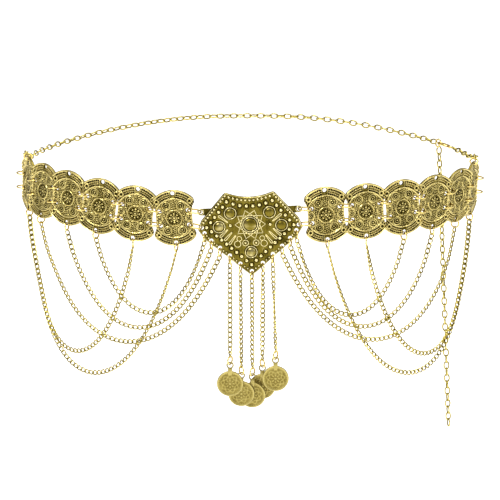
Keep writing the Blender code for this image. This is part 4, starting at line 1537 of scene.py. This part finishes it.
@dataclass
class Swags:
    """Ten curb chains, each a catenary unrolled on the hip's side, in two layers."""

    table: tuple[tuple[int, str, int, tuple[float, float], float, float], ...] = (
        # from plate, to, index of to, lengths left and right, bulge, length over which it bulges
        (6, "plate", 1, (0.270, 0.270), -0.0024, 0.060),
        (6, "plate", 2, (0.226, 0.230), -0.0024, 0.060),
        (5, "hole", 3, (0.222, 0.217), 0.0010, 0.024),
        (4, "hole", 2, (0.1825, 0.180), 0.0010, 0.024),
        (3, "hole", 1, (0.144, 0.148), 0.0010, 0.024),
    )
    drifts: tuple[tuple[float, ...], ...] = (
        # degrees that the links of each row are turned, at TURN_PLACES
        (86.0, 70.0, 8.0, 62.0, 84.0), (76.0, 60.0, -6.0, 10.0, 66.0),
        (10.0, -6.0, 6.0, -8.0, 12.0), (80.0, 12.0, -6.0, 6.0, -10.0),
        (24.0, -4.0, 8.0, 66.0, 20.0),
    )
    pair_shift: float = 0.9 * MM
    bulge_ease: float = 24.0 * MM
    hold_ease: float = 50.0 * MM
    point_step: float = 10.0 * MM
    settle_points: int = 6
    fineness: int = 6

    def catenary(
        self, start: tuple[float, float], end: tuple[float, float], travelled: Array
    ) -> tuple[Array, Array]:
        """A hanging chain's line: z follows a hyperbolic cosine whose scale is found by bisection.

        Args:
            start: arc length and height of its first end.
            end: arc length and height of its last end.
            travelled: lengths along the chain, from 0 to its whole length.

        Returns:
            Arc lengths and heights at those lengths.
        """
        (s0, z0), (s1, z1) = start, end
        length = float(travelled[-1])
        span, rise = abs(s1 - s0), z1 - z0
        need = math.sqrt(length**2 - rise**2) / span
        low, high = 1e-4, 30.0
        for _ in range(80):
            mid = (low + high) / 2
            if math.sinh(mid) / mid < need:
                low = mid
            else:
                high = mid
        scale = span / (2 * low)
        left = math.atanh(rise / length) * scale - span / 2
        u = scale * np.arcsinh(math.sinh(left / scale) + travelled / scale)
        z = z0 + scale * (np.cosh(u / scale) - math.cosh(left / scale))
        return s0 + (s1 - s0) * (u - left) / span, z

    def under_plates(self) -> dict[str, tuple[RingSpot, tuple[float, float, float]]]:
        """The ring under each plate, with its foot on the plan.

        Returns:
            By letter and number: the ring, and its foot's arc length, height and distance out.
        """
        held = {}
        places = PLATES.places()
        for side, letter in SIDES:
            for number, (s, _, _) in enumerate(PLATES.seats[letter], 1):
                place = places[f"{letter}{number}"]
                hole = applied(place, 0.0, 0.0, -PLATES.end_hole_z)
                turn = side * RINGS.turns[number - 1]
                spot = RINGS.through(hole, level(place[:3, 1]), turn)
                held[f"{letter}{number}"] = (spot, HIP.found(spot.foot, side * s))
        return held

    def under_plaque(self) -> dict[str, RingSpot]:
        """The ring in each edge hole of the plaque.

        Returns:
            By letter and number of the hole.
        """
        held = {}
        for side, letter in SIDES:
            for number, (x, z) in enumerate(PLAQUE.edge_holes, 1):
                hole = applied(PLAQUE.place(), side * x * MM, 0.0, z * MM)
                turn = side * RINGS.turns[number - 1]
                held[f"{letter}{number}"] = RINGS.through(hole, BACKWARDS, turn)
        return held

    def build(self) -> None:
        """Hangs every swag with its rings."""
        plates, plaque = self.under_plates(), self.under_plaque()
        for side, letter in SIDES:
            for row, (plate, to, index, lengths, bulge, bulge_from) in enumerate(self.table):
                s0, z0, out0 = plates[f"{letter}{plate}"][1]
                length = lengths[0] if side < 0 else lengths[1]
                if to == "plate":
                    end = plates[f"{letter}{index}"][1]
                    s0 += side * self.pair_shift * (1 if index == 1 else -1)
                    node = f"swag_{letter}{plate}_pair"
                else:
                    foot = plaque[f"{letter}{index}"].foot
                    end = (foot[0], foot[2], 0.0)
                    node = f"swag_{letter}{plate}_hole{index}"
                coarse = round(length / self.point_step)
                travelled = np.linspace(0.0, length, coarse * self.fineness + 1)
                s, z = self.catenary((s0, z0), end[:2], travelled)
                left = length - travelled
                out = bulge * ease(np.minimum(travelled / bulge_from, left / self.bulge_ease))
                out += out0 * (1 - ease(travelled / self.hold_ease))
                out += end[2] * (1 - ease(left / self.hold_ease))
                path, _, facing = HIP.at(s, z, out)
                if to == "hole":
                    settle = self.settle_points * length / coarse
                    rest = ease((travelled - length + settle) / settle)[:, None]
                    path = path + (foot - path[-1]) * rest
                name = f"swag_chain_{letter}{plate}_{to}{index}"
                drift = tuple(-side * degrees for degrees in self.drifts[row])
                ChainRun(name, node, Links.CURB, path, facing, drift=drift).build()
        spots = [plates[f"{letter}{k}"][0] for _, letter in SIDES for k in range(1, 7)]
        add_piece("plate_drop_rings", RINGS.shell(spots, 11), Finish.RING)
        spots = [spot for code, spot in plaque.items() if code != "l6"]
        add_piece("plaque_drop_rings", RINGS.shell(spots, 12), Finish.RING)


SWAGS = Swags()


# Pendants and coins


@dataclass
class Pendants:
    """Five curb chains that hang from the plaque's lower edge, each with a coin on its ring."""

    table: tuple[tuple[int, int, float, float, float], ...] = (
        # hole, side, x, z, layer
        (4, -1, -14.5, -123.6, -4.6), (5, -1, -6.3, -132.8, 0.0), (6, 1, 1.7, -134.6, 2.3),
        (5, 1, 9.0, -129.4, 6.8), (4, 1, 18.6, -120.4, -2.3),
    )
    radius: float = 9.65
    thick: float = 1.2
    bail_z: float = 14.0
    bail_outer: float = 2.65
    bail_inner: float = 1.8
    bail_pivot: float = 0.75
    ring_turn_deg: float = 32.0
    chain_turn_deg: float = 40.0
    chain_points: int = 60
    rings: int = 36
    segments: int = 112

    def relief(self, away: Array, turn: Array) -> Array:
        """Height of the coin's face: a rim, a beaded border, a wavy scroll and a rosette.

        Args:
            away: distances from the coin's middle in millimetres.
            turn: angles in radians.

        Returns:
            Heights in millimetres.
        """
        height = 0.34 * ridge(away - 9.05, 0.46) - 0.35 * ease((away - 9.35) / 0.3)
        height += 0.20 * ridge(away - 7.9, 0.40) * (0.2 + 0.8 * ease(np.cos(30 * turn)))
        height += 0.22 * ridge(away - 6.1 - 0.6 * np.sin(9 * turn), 0.38)
        height += 0.22 * ridge(away - 4.6 + 0.4 * np.sin(9 * turn), 0.34)
        petals = ease((np.cos(8 * turn) + 0.3) / 1.0)
        height += 0.26 * petals * ridge(away - 2.5, 0.80) + 0.30 * dome(away, 0.9)
        return height - 0.14 * ease((8.5 - away) / 0.5)

    def coin(self) -> Shell:
        """One coin about its pivot, its face towards -Y.

        Both faces are polar grids: (r cos a, height, r sin a), the back with its rim alone.

        Returns:
            A shell in metres, with its bail and its tab.
        """
        turn = full_turn(self.segments)
        reach = np.concatenate([np.linspace(0.25, 9.4, self.rings), [self.radius]])
        away, angle = np.meshgrid(reach, turn, indexing="ij")
        front = self.thick / 2 + self.relief(away, angle) - 0.15
        back_reach = np.array([self.radius, 9.4, 9.05, 8.5, 5.0, 0.25])
        back_away, back_angle = np.meshgrid(back_reach, turn, indexing="ij")
        back = self.thick / 2 - 0.15 + 0.2 * ridge(back_away - 9.05, 0.5)
        back[0] -= 0.3
        radius = np.concatenate([away, back_away])
        spin = np.concatenate([angle, back_angle])
        depth = np.concatenate([-front, back])
        points = as_points(radius * np.cos(spin), depth, radius * np.sin(spin))
        worn = 0.50 + 2.0 * self.relief(away, angle)
        wear = np.concatenate([worn, np.full(back_away.shape, 0.5)])
        hubs = np.array([[0.0, -front[0, 0], 0.0], [0.0, back[-1, 0], 0.0]])
        points = np.concatenate([points.reshape(-1, 3), hubs]) * MM
        tris = end_fans(self.segments, len(points) - 2)
        quads = grid_quads(len(radius), self.segments, False, True)
        values = np.concatenate([wear.reshape(-1), [0.9, 0.5]])
        disc = Shell(points, quads, tris, values).facing_out()
        whole = merged([disc, self.bail(), self.tab()])
        whole.points[:, 2] -= (self.bail_z + self.bail_pivot) * MM
        return whole

    def bail(self) -> Shell:
        """The loop on top: an oval section carried round a circle.

        Returns:
            A shell in metres, with the coin's middle at z = 0.
        """
        turn = full_turn(36)
        middle = (self.bail_outer + self.bail_inner) / 2
        half = (self.bail_outer - self.bail_inner) / 2 + 0.08
        path = as_points(middle * np.cos(turn), 0.0, self.bail_z + middle * np.sin(turn))
        sizes = np.full((36, 2), [half, self.thick / 2])
        loop = sweep(path * MM, sizes * MM, BACKWARDS, 10, True)
        loop.wear = loop.wear - 0.30
        return loop

    def tab(self) -> Shell:
        """The strip that runs from the bail down over the face and ends in a round tip.

        Returns:
            A shell in metres, with the coin's middle at z = 0.
        """
        turn = np.linspace(math.pi, 2 * math.pi, 11)
        tip = np.stack([1.6 * np.cos(turn), 7.6 + 1.3 * np.sin(turn)], axis=-1)
        outline = np.concatenate([tip, [(1.6, 11.7), (0.9, 12.1), (-0.9, 12.1), (-1.6, 11.7)]])
        levels = np.array([(0.96, -0.50), (1.0, -0.35), (1.0, 0.62), (0.86, 0.86), (0.5, 0.90)])
        wear = np.array([0.5, 0.5, 0.45, 0.85, 0.75])
        return pillow(outline * MM, levels * [1.0, MM], wear)

    def build(self) -> None:
        """Hangs every pendant chain, its coin ring and its coin."""
        held = SWAGS.under_plaque()
        coin, coin_rings = self.coin(), []
        for number, (hole, side, x, z, layer) in enumerate(self.table, 1):
            head = held[f"{'r' if side > 0 else 'l'}{hole}"].foot
            pivot_z = z + self.bail_z + self.bail_pivot
            pivot = np.array([x * MM, PLAQUE.y + layer * MM, pivot_z * MM])
            centre = pivot + UP * RINGS.drop_radius
            second = about_z(BACKWARDS, self.ring_turn_deg * (-1) ** number)
            coin_rings.append(RingSpot(centre, UP, second, RINGS.drop_radius))
            foot = centre + UP * RINGS.drop_radius
            path = np.linspace(head, foot, self.chain_points)
            end_turn = self.chain_turn_deg * (-1) ** number
            facing = about_z(-BACKWARDS, end_turn)
            middle = 55.0 - 22.0 * number
            turn = (0.0, 20.0, middle, middle / 2 + 10.0, end_turn)
            name, node = f"coin_chain_{number}", f"pendant_chain_{number}"
            ChainRun(name, node, Links.CURB, path, facing, drift=turn).build()
            place = np.eye(4)
            place[:3, 3] = pivot
            body = f"coin_{number}"
            add_piece(f"cast_{body}", coin.placed(place), Finish.COIN, body, body)
        add_piece("coin_rings", RINGS.shell(coin_rings, 5), Finish.RING)


# Closing chain and clasp


@dataclass
class Closing:
    """The cable chains round the back, the spring clasp, its main ring and the free end."""

    side_z: float = 0.0155
    back_z: float = 0.0237
    rise_from: float = 0.262
    rise_to: float = 0.425
    tail_s: float = 0.2675
    main_radius: float = 2.9 * MM
    clasp_length: float = 18.5 * MM
    clasp_roll_deg: float = 14.0
    clasp_ring_x: float = 15.5 * MM
    clasp_gap: float = 0.4 * MM
    end_tilt_deg: float = 55.0
    end_turn_deg: float = 10.0
    settle_length: float = 0.040
    free_length: float = 0.228
    free_drift: float = 0.0120
    free_offset: float = 1.2 * MM
    free_points: int = 100
    clear: float = 0.3 * MM
    eye: tuple[float, float] = (2.1, 1.65)
    eye_halves: tuple[float, float] = (0.45, 0.66)
    hook_depth: float = 1.25
    lever_depth: float = 0.80
    hook_line: Triples = (
        # x, z and half width of the hook in millimetres, from its tail round its nose
        (3.6, 0.0, 1.2), (4.6, 0.3, 1.5), (5.8, 1.2, 1.5), (8.0, 2.0, 1.35), (11.0, 2.2, 1.15),
        (14.0, 2.0, 1.05), (16.5, 1.3, 1.0), (17.6, 0.0, 0.9), (16.8, -1.4, 0.8),
        (14.8, -2.0, 0.55),
    )
    lever_line: Triples = (
        (5.6, -1.1, 0.6), (6.8, -1.7, 0.8), (8.2, -2.3, 0.9), (9.6, -2.3, 0.7), (12.5, -2.2, 0.6),
        (13.9, -2.1, 0.5),
    )

    def height(self, s: Array) -> Array:
        """Height of the chain: level round the sides and a little higher at the back."""
        share = (np.abs(s) - self.rise_from) / (self.rise_to - self.rise_from)
        return self.side_z + (self.back_z - self.side_z) * ease(share)

    def clasp_place(self) -> Array:
        """Matrix of the clasp, lying nearly level: x from its tail to its nose, y through it.

        Returns:
            The matrix, rolled about x.
        """
        ends = np.array([self.tail_s, self.tail_s + self.clasp_length])
        tail, nose = HIP.at(ends, self.height(ends), 0.0)[0]
        along = unit(nose - tail)
        outward = unit(np.cross(along, UP))
        place = np.eye(4)
        place[:3, :3] = np.stack([along, np.cross(outward, along), outward], axis=-1)
        place[:3, 3] = tail
        roll = Matrix.Rotation(math.radians(self.clasp_roll_deg), 4, "X")
        return place @ np.array(roll)

    def route(self, start_s: float, end_s: float, top: Array) -> tuple[Array, ...]:
        """A chain's line round the back from the top of an end plate's ring.

        Args:
            start_s: arc length of the end plate.
            end_s: arc length of the chain's far end, past the middle of the back if need be.
            top: where the chain leaves its ring.

        Returns:
            (n, 3) points and outward directions.
        """
        s = np.linspace(start_s, end_s, 6 * max(3, round(abs(end_s - start_s) / 0.010)) + 1)
        wrapped = np.where(s < -HIP.half_girth, s + 2 * HIP.half_girth, s)
        path, _, facing = HIP.at(wrapped, self.height(wrapped), 0.0)
        fade = 1 - ease(np.abs(s - start_s) / self.settle_length)
        return path + (top - path[0]) * fade[:, None], facing

    def bar(self, line: Triples, depth: float) -> Shell:
        """A tapered bar of the clasp: oval sections carried along its smoothed centre line.

        Args:
            line: x, z and half width of its sections in millimetres.
            depth: half size of its sections through the clasp in millimetres.

        Returns:
            A closed shell in the clasp's own frame, in metres.
        """
        x, z, half = np.array(line).T
        step = np.concatenate([[0.0], np.cumsum(np.hypot(np.diff(x), np.diff(z)))])
        at = np.linspace(0.0, step[-1], 44)
        x, z, half = (np.interp(at, step, column) for column in (x, z, half))
        kernel = np.ones(5) / 5
        x[2:-2], z[2:-2] = np.convolve(x, kernel, "valid"), np.convolve(z, kernel, "valid")
        halves = np.stack([half, np.full_like(half, depth)], axis=-1)
        return sweep(as_points(x, 0.0, z) * MM, halves * MM, BACKWARDS, 14, False)

    def clasp(self) -> None:
        """The spring clasp: a hook with its eye, and a lever with its thumb piece."""
        place = self.clasp_place()
        turn = full_turn(28)
        x, radius = self.eye
        path = as_points(x + radius * np.cos(turn), 0.0, radius * np.sin(turn))
        loop = sweep(path * MM, np.full((28, 2), self.eye_halves) * MM, BACKWARDS, 10, True)
        body = merged([self.bar(self.hook_line, self.hook_depth), loop])
        lever = self.bar(self.lever_line, self.lever_depth)
        for part, shell in (("body", body), ("lever", lever)):
            add_piece(f"spring_clasp_{part}", shell.placed(place), Finish.RING, f"clasp_{part}")

    def build(self) -> None:
        """Closes the belt from its left end plate round the back to its right one."""
        places = PLATES.places()
        tilt = math.radians(self.end_tilt_deg)
        spots, end_s = {}, {}
        for side, letter in SIDES:
            place = places[f"{letter}{len(PLATES.seats[letter])}"]
            end_s[letter] = side * PLATES.seats[letter][-1][0]
            hole = applied(place, 0.0, 0.0, PLATES.end_hole_z)
            reach = unit(side * level(place[:3, 0]) * math.sin(tilt) + UP * math.cos(tilt))
            turn = side * self.end_turn_deg
            spots[letter] = RINGS.through(hole, level(place[:3, 1]), turn, reach)
        clasp = self.clasp_place()
        along = clasp[:3, 0]
        main = applied(clasp, self.clasp_ring_x + self.main_radius, 0.0, 0.0)
        main_ring = RingSpot(main, along, clasp[:3, 1], self.main_radius)
        far_s = self.tail_s + self.clasp_ring_x + 2 * self.main_radius - 2 * HIP.half_girth
        path, facing = self.route(end_s["l"], far_s, spots["l"].foot)
        drift = (20.0, 30.0, 65.0, 110.0, 130.0)
        ChainRun("closing_chain", "back_chain", Links.CABLE, path, facing, drift=drift).build()
        path, facing = self.route(end_s["r"], self.tail_s - self.clasp_gap, spots["r"].foot)
        drift = (10.0, 15.0, 30.0, 40.0, 45.0)
        ChainRun("short_chain", "clasp_chain", Links.CABLE, path, facing, drift=drift).build()
        below = UP * (self.main_radius + RINGS.wire + self.clear)
        start = main - along * self.free_offset - below
        end = start + np.array([self.free_drift, 0.0, -self.free_length])
        path = np.linspace(start, end, self.free_points)
        facing = np.array([0.35, -0.94, 0.0])
        turn = (0.0, 12.0, 50.0, 85.0, 95.0)
        ChainRun("free_chain", "extender_chain", Links.CABLE, path, facing, "bare", turn).build()
        add_piece("end_plate_rings", RINGS.shell(list(spots.values()), 8), Finish.RING)
        add_piece("main_ring", RINGS.shell([main_ring], 9), Finish.RING)
        self.clasp()


# Studio


@dataclass
class Studio:
    """A pale floor, soft studio light and a long lens at the photograph's angle."""

    elevation_deg: float = 15.5
    distance: float = 2.0
    target_z: float = -0.0537
    lens: float = 189.0
    floor_z: float = -0.262
    floor_half: float = 6.0
    floor_glow: float = 0.45

    def camera(self) -> None:
        """The camera: its back direction is tilted up from the front by the elevation."""
        data = bpy.data.cameras.new("photo_camera")
        data.lens = self.lens
        data.sensor_width = 36.0
        made = linked("photo_camera", data)
        lift = math.radians(self.elevation_deg)
        back = Vector((0.0, -math.cos(lift), math.sin(lift)))
        made.location = Vector((0.0, 0.0, self.target_z)) + back * self.distance
        made.rotation_euler = (-back).to_track_quat("-Z", "Y").to_euler()
        bpy.context.scene.camera = made

    def floor(self) -> None:
        """A plain pale floor."""
        half = self.floor_half
        corners = [(-half, -half), (half, -half), (half, half), (-half, half)]
        mesh = bpy.data.meshes.new("studio_floor")
        mesh.from_pydata([(x, y, self.floor_z) for x, y in corners], [], [(0, 1, 2, 3)])
        paper = bpy.data.materials.new("studio_paper")
        paper.use_nodes = True
        values = {
            "Base Color": (0.93, 0.93, 0.93, 1.0),
            "Roughness": 0.9,
            "Specular IOR Level": 0.1,
            "Emission Color": (1.0, 1.0, 1.0, 1.0),
            "Emission Strength": self.floor_glow,
        }
        for name, value in values.items():
            paper.node_tree.nodes["Principled BSDF"].inputs[name].default_value = value
        mesh.materials.append(paper)
        linked("studio_floor", mesh)

    def lamp(self, name: str, spot: tuple[float, float, float], size: float, power: float) -> None:
        """One square soft lamp aimed at the belt.

        Args:
            name: the lamp's name.
            spot: where it hangs.
            size: length of its sides.
            power: its power in watts.
        """
        data = bpy.data.lights.new(name, "AREA")
        data.size = size
        data.energy = power
        made = linked(name, data)
        made.location = spot
        aim = Vector((0.0, 0.0, self.target_z)) - Vector(spot)
        made.rotation_euler = aim.to_track_quat("-Z", "Y").to_euler()

    def world(self) -> None:
        """A plain pale surround, a little brighter overhead than at the horizon."""
        made = bpy.data.worlds.new("studio_surround")
        made.use_nodes = True
        bpy.context.scene.world = made
        tree = made.node_tree
        back = tree.nodes["Background"]
        place, split = add_node(tree, "TexCoord"), add_node(tree, "SeparateXYZ")
        ramp = add_node(tree, "ValToRGB")
        low, high = ramp.color_ramp.elements
        low.position, low.color = 0.05, (0.30, 0.30, 0.30, 1.0)
        high.position, high.color = 0.60, (1.0, 1.0, 1.0, 1.0)
        tree.links.new(place.outputs["Generated"], split.inputs["Vector"])
        tree.links.new(split.outputs["Z"], ramp.inputs["Fac"])
        tree.links.new(ramp.outputs["Color"], back.inputs["Color"])
        back.inputs["Strength"].default_value = 0.6

    def build(self) -> None:
        """Sets the floor, the surround and three lamps."""
        self.floor()
        self.world()
        self.lamp("key_lamp", (-0.9, -1.5, 1.5), 0.7, 24.0)
        self.lamp("fill_lamp", (1.5, -1.1, 0.8), 0.9, 8.0)
        self.lamp("top_lamp", (0.1, 0.6, 1.8), 1.0, 22.0)
        bpy.context.scene.view_settings.view_transform = "Standard"


def main() -> None:
    """Builds the camera, the belt from its front to its back, and the studio."""
    logging.basicConfig(level=logging.INFO, format="%(name)s: %(message)s")
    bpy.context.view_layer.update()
    studio = Studio()
    studio.camera()
    SWAGS.build()
    Pendants().build()
    Closing().build()
    PLATES.build()
    PLAQUE.build()
    SideRings().build()
    studio.build()
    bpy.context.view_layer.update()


if __name__ == "__main__":
    main()
